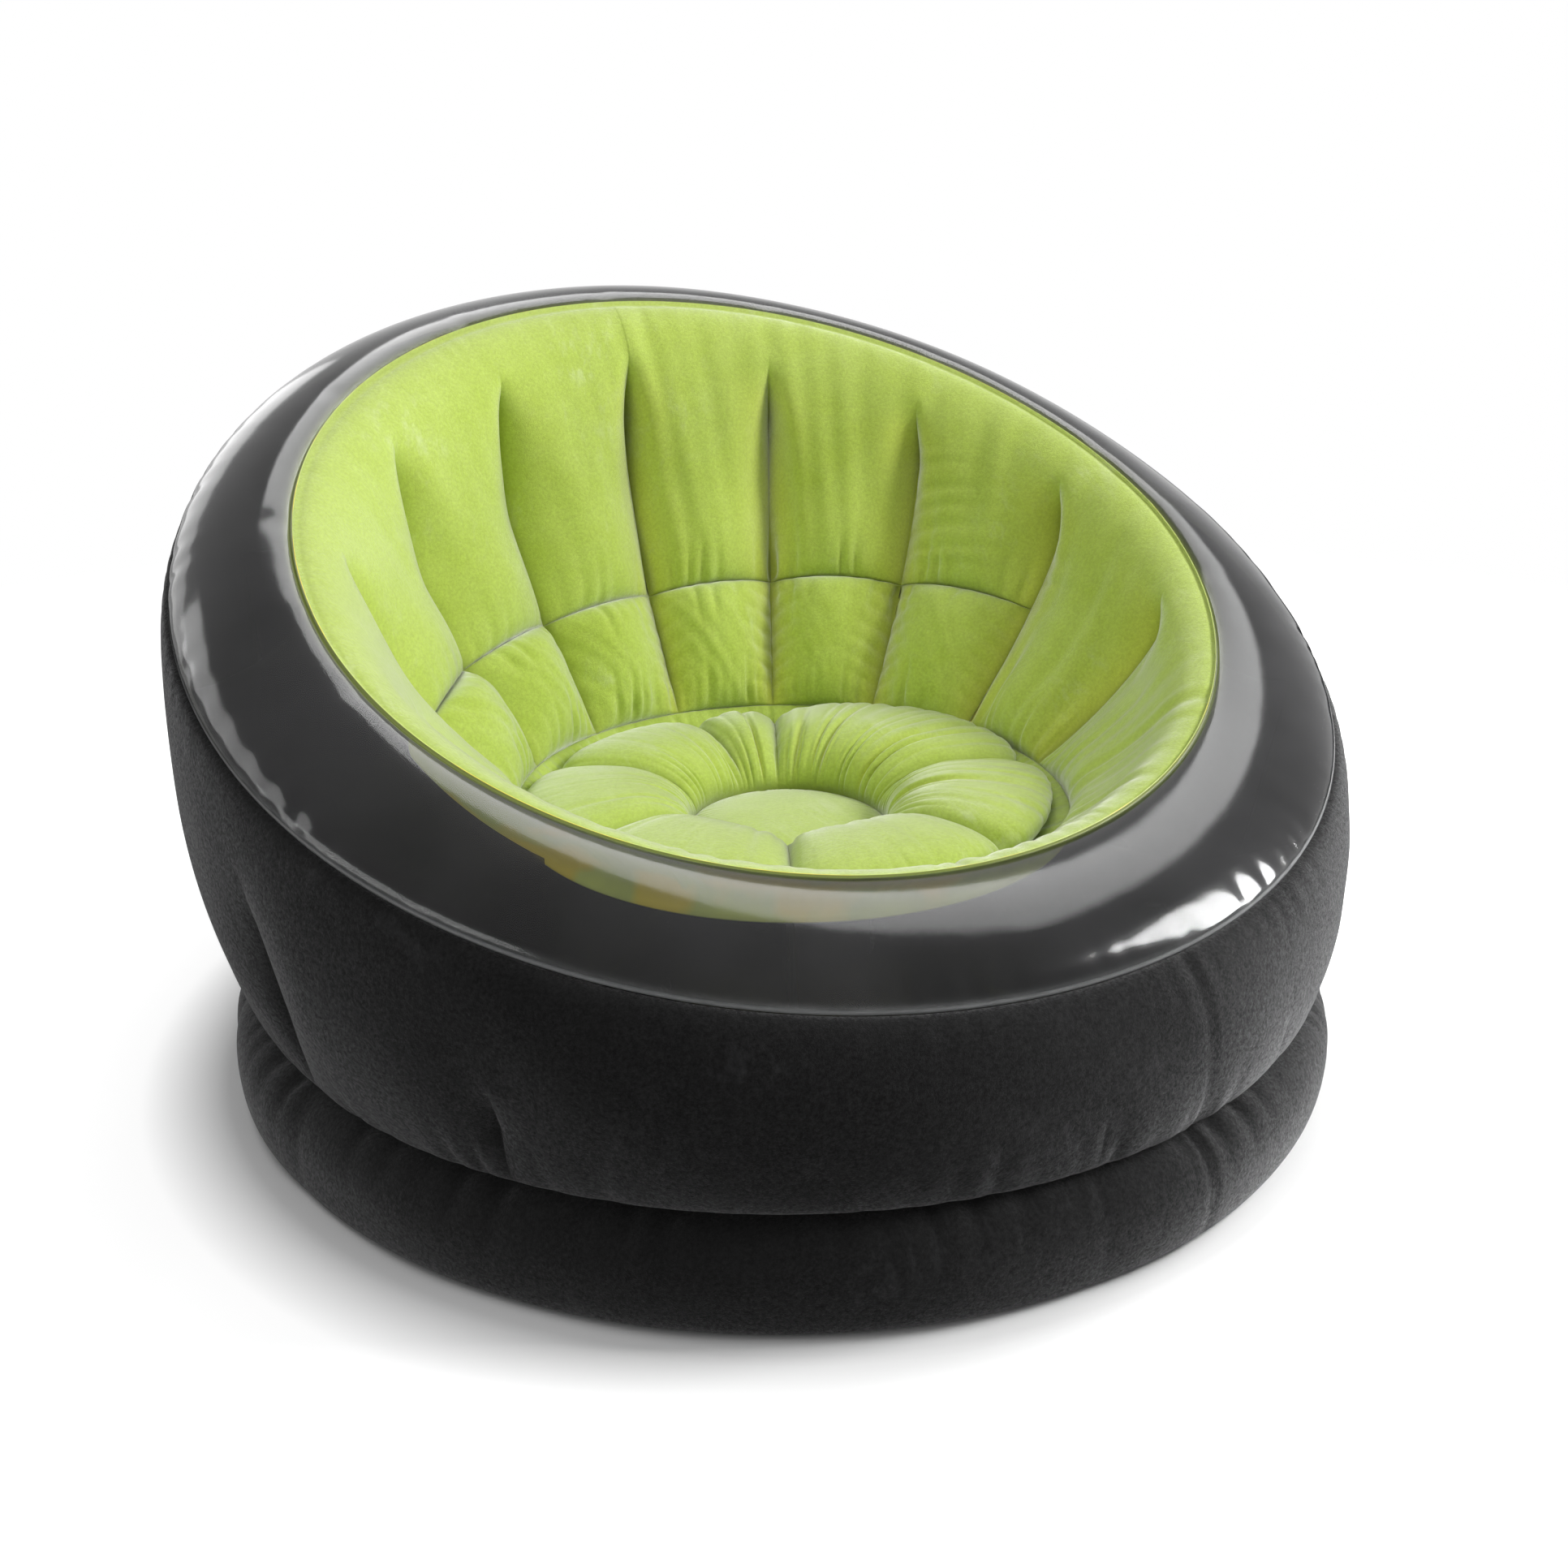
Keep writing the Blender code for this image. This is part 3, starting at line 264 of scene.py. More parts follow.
def skin(name, grid, node, materials, masks, closed=True, cap=False):
    """Sheet of vinyl through a grid of points, in the place of a node of the CAD.

    The first material is on the side of the normals. cap closes the middle of a disc.
    """
    columns, rows = grid.shape[:2]
    index = np.arange(columns * rows).reshape(columns, rows)
    following = np.roll(index, -1, 0) if closed else index[1:]
    here = index if closed else index[:-1]
    corners = [here[:, :-1], following[:, :-1], following[:, 1:], here[:, 1:]]
    faces = np.stack(corners, axis=-1).reshape(-1, 4).tolist()
    if cap:
        faces.append(index[:, -1].tolist())
    mesh = bpy.data.meshes.new(name)
    mesh.from_pydata(grid.reshape(-1, 3).tolist(), [], faces)
    for material in materials:
        mesh.materials.append(material)
    for mask, values in masks.items():
        layer = mesh.attributes.new(mask, "FLOAT", "POINT")
        layer.data.foreach_set("value", values.reshape(-1).astype(np.float32))
    mesh.shade_smooth()
    piece = bpy.data.objects.new(name, mesh)
    bpy.context.scene.collection.objects.link(piece)
    sheet = piece.modifiers.new("sheet", "SOLIDIFY")
    sheet.thickness = SHEET
    sheet.offset = 0
    if len(materials) > 1:
        sheet.material_offset = 1
        sheet.material_offset_rim = 1
    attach(piece, "chair")
    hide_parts(node)
    return piece


# Materials.


class Nodes:
    """Node tree of one material, with short calls."""

    def __init__(self, name):
        self.material = bpy.data.materials.new(name)
        self.material.use_nodes = True
        self.tree = self.material.node_tree
        self.shader = self.tree.nodes["Principled BSDF"]

    def add(self, kind, inputs=None, **settings):
        node = self.tree.nodes.new(kind)
        for key, value in settings.items():
            setattr(node, key, value)
        for key, value in (inputs or {}).items():
            self.put(node, key, value)
        return node

    def put(self, node, key, value):
        socket = node.inputs[key]
        if isinstance(value, bpy.types.NodeSocket):
            self.tree.links.new(value, socket)
        else:
            socket.default_value = value

    def set(self, **values):
        for key, value in values.items():
            self.put(self.shader, key.replace("_", " "), value)

    def noise(self, scale, detail, rough, seed, stretch=(1, 1, 1)):
        """Noise with scale blots to the metre. stretch multiplies that along each axis."""
        where = self.add("ShaderNodeTexCoord").outputs["Object"]
        mapping = self.add("ShaderNodeMapping", {"Vector": where})
        mapping.inputs["Scale"].default_value = stretch
        mapping.inputs["Location"].default_value = (seed, seed * 0.7, -seed)
        inputs = {"Vector": mapping.outputs[0], "Scale": scale, "Detail": detail}
        node = self.add("ShaderNodeTexNoise", {**inputs, "Roughness": rough})
        return node.outputs["Fac"]

    def ramp(self, value, *stops):
        """Ramp of greys: each stop is a place and its grey."""
        node = self.add("ShaderNodeValToRGB", {"Fac": value})
        elements = node.color_ramp.elements
        while len(elements) < len(stops):
            elements.new(0.5)
        for element, (place, grey) in zip(elements, stops):
            element.position = place
            element.color = (grey, grey, grey, 1.0)
        return node.outputs["Color"]

    def span(self, value, low, high, to_low=0.0, to_high=1.0):
        """The range from low to high moved to another one, and held at its ends."""
        ends = {"From Min": low, "From Max": high, "To Min": to_low, "To Max": to_high}
        return self.add("ShaderNodeMapRange", {"Value": value, **ends}).outputs["Result"]

    def sum(self, first, second, kind="ADD"):
        node = self.add("ShaderNodeMath", operation=kind)
        self.put(node, 0, first)
        self.put(node, 1, second)
        return node.outputs[0]

    def times(self, first, second):
        return self.sum(first, second, "MULTIPLY")

    def blend(self, share, first, second, kind="MIX"):
        """Mix of two colours, which are sockets 6 and 7 of the node, and its output 2."""
        node = self.add("ShaderNodeMix", data_type="RGBA", blend_type=kind)
        self.put(node, 0, share)
        self.put(node, 6, first)
        self.put(node, 7, second)
        return node.outputs[2]

    def mask(self, name):
        """A mask that skin() stored on the points of the mesh."""
        node = self.add("ShaderNodeAttribute", attribute_name=name, attribute_type="GEOMETRY")
        return node.outputs["Fac"]

    def bump(self, height, distance, strength, before=None):
        """Relief in metres, faded by strength, on top of the relief before it."""
        inputs = {"Height": height, "Distance": distance, "Strength": strength}
        if before is not None:
            inputs["Normal"] = before
        return self.add("ShaderNodeBump", inputs).outputs["Normal"]


# Painted shade in the creases and welds of the flock: how dark its colour gets there, and how much
# of that is mixed in.
CREASE_SHADE, CREASE_SHADE_SHARE = 0.35, 0.60


def flock(name, dark, light, scuff, warm, sheen, speckle, seed):
    """Short fibres on vinyl: fine grain, soft patches where they lie over, pale rubs, painted shade
    along its creases and welds, and painted yellow light beside the creases as if it came through
    the skin.

    sheen is its tint and then its weight. speckle is how far the grain changes the brightness.
    """
    n = Nodes(name)
    patches = n.noise(11, 5.0, 0.6, seed)
    cloud = n.noise(42, 4.0, 0.6, seed + 5)
    grain = n.noise(300, 4.0, 0.8, seed + 3)
    fine = n.noise(1300, 2.0, 0.7, seed)
    wide, small = n.span(patches, 0.34, 0.66), n.span(cloud, 0.35, 0.65)
    base = n.blend(n.sum(n.times(wide, 0.6), n.times(small, 0.4)), dark, light)
    # Painted light: a yellower colour where the mask says light would come through the skin beside
    # the creases.
    base = n.blend(n.mask("warm"), base, warm)
    low, high = 1 - speckle, 1 + speckle
    base = n.blend(1.0, base, n.ramp(grain, (0.36, low), (0.50, 1.0), (0.64, high)), "MULTIPLY")
    smear = n.noise(7, 6.0, 0.65, seed + 7)
    scratch = n.noise(95, 3.0, 0.6, seed + 11, stretch=(1.0, 0.16, 0.5))
    rubbed = n.times(n.span(smear, 0.52, 0.70), n.span(scratch, 0.50, 0.68))
    rubbed = n.times(rubbed, n.span(n.mask("rub"), 0.0, 1.0, 0.10, 0.85))
    base = n.blend(rubbed, base, scuff)
    # Painted shade: where the crease mask is high, the colour goes towards a darker copy of the
    # flock's own.
    crease_shade_colour = tuple(CREASE_SHADE * c for c in dark[:3]) + (1.0,)
    base = n.blend(n.times(n.mask("crease"), CREASE_SHADE_SHARE), base, crease_shade_colour)
    n.set(Base_Color=base, Metallic=0.0, IOR=1.4)
    n.set(Roughness=n.span(patches, 0.3, 0.7, 0.82, 0.95))
    *tint, weight = sheen
    least, most = weight * (1 - 0.7 * speckle), weight * (1 + 0.7 * speckle)
    n.set(Sheen_Weight=n.span(grain, 0.36, 0.64, least, most), Sheen_Roughness=0.42)
    n.set(Specular_IOR_Level=0.15, Sheen_Tint=(*tint, 1))
    soft = n.bump(cloud, 0.0010, 0.5)
    n.set(Normal=n.bump(fine, 0.0004, 0.8, n.bump(grain, 0.0007, 0.7, soft)))
    return n.material


RIPPLE_SHADE = 0.80


def vinyl(name, colour, rough, seed, alpha=1.0, glow=0.0, patch=None):
    """Plain unflocked vinyl with faint ripples and dust.

    glow is painted light, a glow as if light came through the skin, and patch the colour of larger
    blots of that painted light.
    """
    n = Nodes(name)
    ripple = n.noise(22, 3.0, 0.5, seed)
    dust = n.noise(380, 4.0, 0.7, seed + 2)
    darker = tuple(c * RIPPLE_SHADE for c in colour) + (1.0,)
    base = n.blend(n.span(ripple, 0.35, 0.65), darker, (*colour, 1.0))
    # Painted light: larger yellow blots, as if light came through the skin.
    if patch:
        glow_blots = n.span(n.noise(13, 2.0, 0.5, seed + 4), 0.50, 0.60)
        base = n.blend(glow_blots, base, (*patch, 1.0))
    n.set(Base_Color=base, Metallic=0.0, IOR=1.53, Alpha=alpha)
    n.set(Roughness=n.span(dust, 0.35, 0.75, rough, rough + 0.15))
    n.set(Normal=n.bump(ripple, 0.0015, 0.25))
    n.set(Emission_Color=base if glow else (*colour, 1.0), Emission_Strength=glow)
    return n.material


SMOKE_DARK, SMOKE_LIGHT = (0.020, 0.020, 0.021, 1), (0.045, 0.045, 0.047, 1)
WELD_GREY, EDGE_GREEN = (0.46, 0.47, 0.47, 1), (0.22, 0.27, 0.05, 1)


def clear_vinyl():
    """Smoke vinyl: see-through where it faces the eye, more solid where it turns away."""
    n = Nodes("clear_vinyl")
    ripple = n.noise(7.5, 3.0, 0.5, 5.0)
    crinkle = n.noise(26, 1.0, 0.4, 2.0)
    haze = n.noise(14, 5.0, 0.7, 8.0)
    cloud = n.noise(5.0, 4.0, 0.6, 4.0)
    weld, edge = n.mask("weld"), n.mask("edge")
    tint = n.blend(n.span(ripple, 0.35, 0.65), SMOKE_DARK, SMOKE_LIGHT)
    tint = n.blend(edge, n.blend(weld, tint, WELD_GREY), EDGE_GREEN)
    n.set(Base_Color=tint, Metallic=0.0, IOR=1.5)
    mist = n.sum(n.times(n.span(haze, 0.35, 0.75), 0.5), n.times(n.span(cloud, 0.4, 0.7), 0.5))
    n.set(Roughness=n.span(mist, 0.0, 1.0, 0.11, 0.17))
    n.set(Specular_IOR_Level=0.38)
    facing = n.add("ShaderNodeLayerWeight", {"Blend": 0.5}).outputs["Facing"]
    alpha = n.sum(n.span(n.times(facing, facing), 0.0, 0.6, 0.34, 0.95), n.times(weld, 0.6))
    alpha = n.sum(alpha, n.times(edge, 0.5))
    n.set(Alpha=n.sum(alpha, 1.0, "MINIMUM"))
    n.set(Normal=n.bump(crinkle, 0.0008, 0.06, n.bump(ripple, 0.006, 0.14)))
    return n.material


BLACK = flock(
    "black_flock",
    dark=(0.0020, 0.0020, 0.0020, 1),
    light=(0.0065, 0.0065, 0.0065, 1),
    scuff=(0.045, 0.045, 0.047, 1),
    warm=(0.010, 0.010, 0.010, 1),
    sheen=(0.80, 0.80, 0.81, 0.41),
    speckle=0.80,
    seed=1.0,
)
LIME = flock(
    "lime_flock",
    dark=(0.445, 0.575, 0.080, 1),
    light=(0.51, 0.645, 0.130, 1),
    scuff=(0.68, 0.76, 0.44, 1),
    warm=(0.62, 0.64, 0.085, 1),
    sheen=(0.98, 1.0, 0.95, 1.35),
    speckle=0.10,
    seed=4.0,
)
BLACK_BACK = vinyl("black_vinyl_back", (0.016, 0.016, 0.017), rough=0.30, seed=3.0)
# The back of the lime skin: its glow and its yellow blots are painted light, as if light came
# through the skin.
LIME_BACK = vinyl(
    "lime_vinyl_back", (0.56, 0.66, 0.15), rough=0.38, seed=6.0, glow=0.45, patch=(0.72, 0.60, 0.05)
)
CLEAR = clear_vinyl()
WEB = vinyl("web_vinyl", (0.030, 0.031, 0.030), rough=0.30, seed=9.0, alpha=0.70)
VALVE = vinyl("valve_vinyl", (0.045, 0.045, 0.048), rough=0.42, seed=11.0)
STOPPER = vinyl("stopper_vinyl", (0.07, 0.07, 0.074), rough=0.38, seed=12.0)
FLAP = vinyl("flap_vinyl", (0.45, 0.45, 0.43), rough=0.30, seed=13.0)


# Black skins.

STRIP_JOIN = math.radians(282)
STRIP_DIP, STRIP_WIDTH = 0.0016, 0.004
STRIP_PUCKER, PUCKER_REACH = 0.004, 0.012
VALVE_HOLE, HOLE_SIDES = 0.0183, 56
VALVE_ROWS = (0.25, 0.5)
FLAT_RADIUS, FLAT_FADE, FLAT_WIDTH = 0.030, 0.022, 1.25
NEAR_VALVE = 0.1


def strip_join(angle, radius):
    """Fine upright line where the two ends of a black strip are welded together."""
    away = turn_from(angle, STRIP_JOIN) * radius
    return np.exp(-((away / STRIP_WIDTH) ** 2))


def strip_pucker(join, distance):
    """How much deeper that line is where it runs into the gathers of a weld."""
    return STRIP_PUCKER * join * fade(distance, PUCKER_REACH)


def base_tube():
    """Strip round the base, from under the bottom sheet up to the waist."""
    angle = web_angles(44, 0.3)[:, None]
    share = crowded(44, 0.2)[None, :]
    floor, top = SHEET / 2 + LAYER, WAIST_HEIGHT - LAYER
    turn = share * math.pi
    low_side = turn < math.pi / 2
    low_radius = mix(BOTTOM_RADIUS, BASE_RADIUS, np.sin(np.minimum(turn, math.pi / 2)))
    radius = np.where(low_side, low_radius, mix(WAIST_RADIUS, BASE_RADIUS, np.sin(turn)))
    low_height = mix(BASE_WIDEST, floor, np.cos(turn))
    height = np.where(low_side, low_height, mix(BASE_WIDEST, top, -np.cos(turn)))
    grid = to_points(angle, radius, height)
    from_top = (1 - share) * BASE_ARC
    amount = -gathers(angle, from_top, BASE_GATHERS)
    broad = round_waves(angle, 5, 19, 23) + 0.8
    amount = amount - 0.0014 * broad * np.sin(math.pi * share) ** 2
    join = strip_join(angle, BASE_RADIUS)
    amount = amount - STRIP_DIP * join * eased(4 * (1 - share)) * eased(3 * share)
    amount = amount - strip_pucker(join, from_top)
    for number, depth in BASE_TUCKS:
        away = np.abs(turn_from(angle, web_at(number)) * BASE_RADIUS)
        amount = amount - depth * line(away, BASE_TUCK_WIDTH) * fade(from_top, BASE_TUCK_REACH)
    grid = displace(grid, amount)
    low_lap = to_points(angle, radius[:, :1] - TUCK, height[:, :1])
    top_lap = to_points(angle, radius[:, -1:] - TUCK, height[:, -1:])
    grid = np.concatenate([low_lap, grid, top_lap], axis=1)
    # The crease mask puts painted shade along the top weld and the strip's join.
    crease = line(from_top, 0.004) + 0.5 * join
    masks = edged(crease=crease, rub=0.5 + 0 * crease)
    return skin("base_tube", grid, "base_side_panel", [BLACK, BLACK_BACK], masks)


# For each web, from the back anticlockwise: how far the drum's skin swells beside the web's
# pull, how wide and how strong that pull is, and how far up the drum it reaches.
DRUM_PULLS = (
    (0.002, 0.016, 0.60, 0.55),
    (0.002, 0.018, 0.60, 0.55),
    (0.003, 0.016, 0.60, 0.60),
    (0.004, 0.018, 0.60, 0.60),
    (0.010, 0.020, 1.00, 0.72),
    (0.006, 0.016, 0.80, 0.48),
    (0.001, 0.012, 0.25, 0.40),
    (0.001, 0.012, 0.20, 0.40),
    (0.001, 0.014, 0.22, 0.40),
    (0.002, 0.018, 0.30, 0.55),
    (0.003, 0.016, 0.40, 0.60),
    (0.002, 0.018, 0.60, 0.60),
    (0.003, 0.016, 0.60, 0.60),
    (0.002, 0.018, 0.60, 0.55),
)


def drum():
    """Strip round the drum, with a dent at each web and a flat place for the valve."""
    angle = web_angles(56, 0.8)[:, None]
    share = crowded(72, 0.6)[None, :]
    outer_radius, outer_height = seam(angle, OUTER)
    outer_radius = outer_radius + LIP[1] * -LAYER / 2
    outer_height = outer_height + LIP[0] * LAYER / 2
    bulge = mix(DRUM_BULGES[0], DRUM_BULGES[2], backness(angle))
    bulge = mix(bulge, DRUM_BULGES[1], np.cos(angle) ** 2)
    radius = mix(WAIST_RADIUS, outer_radius, share) + bulge * round_rise(share)
    height = mix(WAIST_HEIGHT + LAYER, outer_height, share)
    length = outer_height - WAIST_HEIGHT
    nearest = np.round((angle - math.pi / 2) / CHANNEL_ANGLE).astype(int) % CHANNELS
    away = turn_from(angle, web_at(nearest)) * WAIST_RADIUS
    swells, widths, strengths, reaches = np.array(DRUM_PULLS).T
    turns = np.mod(angle - math.pi / 2, 2 * math.pi) / CHANNEL_ANGLE
    swell = np.interp(turns, range(CHANNELS + 1), (*swells, swells[0]))
    width = np.where(away > 0, widths[nearest], 0.7 * widths[nearest])
    upright = np.sin(math.pi * np.clip(share / reaches[nearest], 0, 1) ** 0.8)
    limit = np.sin(math.pi * np.clip(share / DENT_TOP, 0, 1))
    pull = strengths[nearest] * np.minimum(upright, limit) * line(np.abs(away), width)
    beside = 1 - np.exp(-((away / 0.045) ** 2))
    from_low, from_top = share * length, (1 - share) * length
    amount = -DRUM_DENT * pull + swell * beside * np.sin(math.pi * np.clip(share / 0.9, 0, 1))
    clear = 1 - np.exp(-((away / 0.010) ** 2)) * (share < DENT_TOP)
    amount = amount - gathers(angle, from_low, DRUM_LOW_GATHERS) * clear
    amount = amount - gathers(angle, from_top, DRUM_TOP_GATHERS)
    broad = round_waves(angle, 5, 17, 37) * np.sin(math.pi * share)
    slant = waves(angle * 0.5 + from_low, 0.09, 0.30, 39) * np.sin(math.pi * share)
    amount = amount + 0.0012 * (broad + slant) * clear
    join = strip_join(angle, 0.52)
    amount = amount - STRIP_DIP * join - strip_pucker(join, from_low)
    grid = to_points(angle, radius, height)
    flat, centre, out = valve_patch(grid)
    grid = displace(grid, amount * (1 - flat))
    grid = grid - out * (flat * ((grid - centre) @ out))[..., None]
    first = to_points(angle, radius[:, :1] - TUCK, height[:, :1])
    last = to_points(angle, radius[:, -1:] + LIP[0] * TUCK, height[:, -1:] + LIP[1] * TUCK)
    grid = np.concatenate([first, grid, last], axis=1)
    # The crease mask puts painted shade along both welds, in the dents at the webs and on the
    # strip's join.
    crease = line(from_low, 0.006) + line(from_top, 0.003)
    crease = crease + 1.2 * pull * line(np.abs(away), 0.005) + 0.4 * join
    masks = edged(crease=crease, rub=0.5 + 0 * crease)
    piece = skin("drum", grid, "drum_side_panel", [BLACK, BLACK_BACK], masks)
    cut_round(piece, centre, out, VALVE_HOLE)
    return piece


def valve_patch(grid):
    """How flat the drum lies round the valve at each point, and the plane that it lies in."""
    outer_radius, outer_height = seam(np.zeros(1), OUTER)
    radius, height = [], []
    for share in VALVE_ROWS:
        run = mix(WAIST_RADIUS, outer_radius[0] - LIP[1] * LAYER / 2, share)
        radius.append(run + DRUM_BULGES[1] * round_rise(share))
        height.append(mix(WAIST_HEIGHT + LAYER, outer_height[0] + LIP[0] * LAYER / 2, share))
    along = np.array([radius[1] - radius[0], 0.0, height[1] - height[0]])
    along = along / np.linalg.norm(along)
    out = np.array([along[2], 0.0, -along[0]])
    centre = np.array([sum(radius) / 2, 0.0, sum(height) / 2])
    place = grid - centre
    across = np.hypot(place[..., 1] / FLAT_WIDTH, place @ along)
    this_side = place @ out > -NEAR_VALVE
    flat = np.where(this_side, 1 - eased((across - FLAT_RADIUS) / FLAT_FADE), 0.0)
    return flat, centre, out


def cut_round(piece, centre, out, radius):
    """Round hole through a skin, where it lies flat.

    The faces near the circle go, and new ones fill the ring between it and the ragged edge.
    """
    mesh = bmesh.new()
    mesh.from_mesh(piece.data)
    centre, out = Vector(centre), Vector(out)

    def reach(point):
        place = point.co - centre
        return (place - out * place.dot(out)).length if place.length < NEAR_VALVE else 1.0

    near, far = 1.5 * radius, 3 * radius
    inside = [face for face in mesh.faces if min(map(reach, face.verts)) < near]
    bmesh.ops.delete(mesh, geom=inside, context="FACES")
    edges = [edge for edge in mesh.edges if edge.is_boundary and max(map(reach, edge.verts)) < far]
    turn = Matrix.Translation(centre) @ out.to_track_quat("Z", "Y").to_matrix().to_4x4()
    circle = bmesh.ops.create_circle(mesh, segments=HOLE_SIDES, radius=radius, matrix=turn)
    edges += list({edge for point in circle["verts"] for edge in point.link_edges})
    bmesh.ops.triangle_fill(mesh, use_beauty=True, edges=edges, normal=out)
    bmesh.ops.recalc_face_normals(mesh, faces=mesh.faces)
    for face in mesh.faces:
        face.smooth = True
    mesh.to_mesh(piece.data)
    mesh.free()


# Clear rim.


def rim():
    """Clear roll between the drum and the bowl."""
    angle = web_angles(40, 0.0)[:, None]
    share = crowded(64, 0.85)[None, :]
    outer_radius, outer_height = seam(angle, OUTER)
    outer_radius = outer_radius + LIP[1] * LAYER / 2
    outer_height = outer_height - LIP[0] * LAYER / 2
    inner_radius, inner_height = seam(angle, INNER)
    inner_radius = inner_radius + LAYER / 2
    run, rise = inner_radius - outer_radius, inner_height - outer_height
    length = np.hypot(run, rise)
    up = RIM_RISE * round_rise(share)
    radius = mix(outer_radius, inner_radius, share) + rise / length * up
    height = mix(outer_height, inner_height, share) - run / length * up
    grid = to_points(angle, radius, height)
    from_out, from_in = share * length, (1 - share) * length
    amount = 0.0007 * round_waves(angle, 3, 9, 41) * round_rise(share) - 0.0004
    amount = amount - gathers(angle, from_out, RIM_GATHERS)
    near = web_gap(angle, 0.40)
    top_tuck = is_creased(angle, CREASE_CHANNELS + 0.2) * np.exp(-((near / 0.012) ** 2))
    amount = amount - 0.0006 * top_tuck * fade(from_in, 0.007)
    grid = displace(grid, amount)
    first = to_points(angle, outer_radius + LIP[0] * TUCK, outer_height + LIP[1] * TUCK)
    last = to_points(angle, inner_radius, inner_height + FLANGE)
    grid = np.concatenate([first, grid, last], axis=1)
    masks = edged(weld=line(from_out, 0.0014), edge=line(from_in, 0.0020))
    return skin("rim", grid, "rim_panel", [CLEAR], masks)


# Bowl. Each point is placed on the crease line and then pushed towards the sitter.


def bowl_ends(angle):
    """Radius and height of the bowl's top and foot, and the distance between them."""
    top_radius, top_height = seam(angle, INNER)
    foot_radius = set_back(angle, FOOT_RADIUS)
    foot_height = FOOT_HEIGHT + 0 * angle
    length = np.hypot(top_radius - foot_radius, top_height - foot_height)
    return top_radius - LAYER / 2, top_height, foot_radius + LAYER / 2, foot_height, length


def bowl_line(angle, share):
    """Radius and height of the crease line, from the top at 0 to the foot at 1."""
    top_radius, top_height, foot_radius, foot_height, length = bowl_ends(angle)
    sag = SAG * length * 4 * share * (1 - share)
    return mix(top_radius, foot_radius, share) + sag, mix(top_height, foot_height, share) - sag / 2


def bowl_inward(angle, share):
    """Direction from the crease line towards the sitter."""
    ahead, behind = bowl_line(angle, share + 0.01), bowl_line(angle, share - 0.01)
    run, rise = ahead[0] - behind[0], ahead[1] - behind[1]
    length = np.hypot(run, rise)
    return rise / length, -run / length


def seam_share(angle):
    """Place of the horizontal seam, which runs a little higher at one side."""
    rise = SEAM_RISE + SEAM_TILT * np.cos(angle - SEAM_HIGH_SIDE)
    return 1 - rise / bowl_ends(angle)[4]


def low_share(angle):
    return 1 - FOOT_BAND / bowl_ends(angle)[4]


def split_share(angle):
    return np.maximum(seam_share(angle), SPLIT * low_share(angle))


def end_rise(share):
    """Quarter of a circle: how a pillow comes up from its end."""
    left = 1 - np.clip(share, 0, 1)
    return np.sqrt(np.clip(1 - left * left, 0, None))


def is_creased(angle, reach):
    """True within that many channels of the middle of the back."""
    return np.abs(web_distance(angle)) <= reach + 1e-9


def across_channel(angle):
    """Place between the two webs of a channel, -1 to 1."""
    return 2 * channel_phase(angle)[0] - 1


def web_gap(angle, radius):
    """Distance along the skin to the nearest web."""
    phase = channel_phase(angle)[0]
    return np.minimum(phase, 1 - phase) * CHANNEL_ANGLE * radius


def right_side(angle):
    """1 on the side of the bowl where the photographed skin lies in more folds."""
    return eased((np.cos(angle - FOLDED_SIDE) + 0.1) / 0.8)


def bowl_grid(angle, share, rise):
    """Points of the bowl at that rise above its crease line."""
    radius, height = bowl_line(angle, share)
    inward = bowl_inward(angle, share)
    return to_points(angle, radius + inward[0] * rise, height + inward[1] * rise)


def wall_full(angle):
    """Rise of the wall's pillows, fuller towards the back."""
    return mix(BOWL_RISES[0], WALL_PLUMP * BOWL_RISES[1], backness(angle))


def wall_profile(angle, radius, full):
    """Rise across the channels: round pillows, and one smooth wall where there are none."""
    pillow = blown(across_channel(angle), full / (radius * CHANNEL_ANGLE / 2))
    beyond = np.clip((np.abs(web_distance(angle)) - CREASE_CHANNELS) / 0.9, 0, 1)
    smooth = 1 - (1 - beyond) ** 2.4
    return np.where(is_creased(angle, CREASE_CHANNELS), pillow, smooth)


def wall_rise(angle, share, end, has_seam):
    """Rise of the wall. Each crease starts narrow below the rim and opens downwards."""
    full = wall_full(angle)
    crease = eased((share - CREASE_START) / (CREASE_END - CREASE_START))
    radius = bowl_line(angle, share)[0]
    narrow = mix(3.4, 1.0, eased((share - CREASE_START) / TAPER_END))
    hollow = np.clip(1 - wall_profile(angle, radius, full), 0, 1)
    rise = full * (1 - crease * hollow**narrow)
    low = end_rise((end - share) / END_LOW)
    low = np.where(has_seam, mix(SEAM_LIFT, 1.0, low), low)
    floor = CREASE_FLOOR * eased((end - share) / 0.03)
    return rise * end_rise(share / END_TOP) * low + floor * eased(share / 0.1)


# Folds that the photograph shows beside a web of the bowl: the web, the side of it that they
# lie on, where they start and stop below the rim, their wavelength, how far they reach, how
# they slope, and their depth.
FOLDS = (
    (12, -1, 0.075, 0.235, 0.024, 0.026, 0.50, 0.0034),
    (11, -1, 0.095, 0.190, 0.026, 0.022, 0.40, 0.0018),
    (13, -1, 0.200, 0.270, 0.022, 0.016, 0.30, 0.0012),
    (10, 1, 0.120, 0.215, 0.024, 0.018, 0.35, 0.0014),
    (11, 1, 0.200, 0.270, 0.020, 0.016, 0.30, 0.0014),
    (4, -1, 0.060, 0.130, 0.024, 0.018, 0.40, 0.0010),
    (3, 1, 0.170, 0.250, 0.026, 0.016, 0.30, 0.0008),
)
FOLDS_SEED = 50


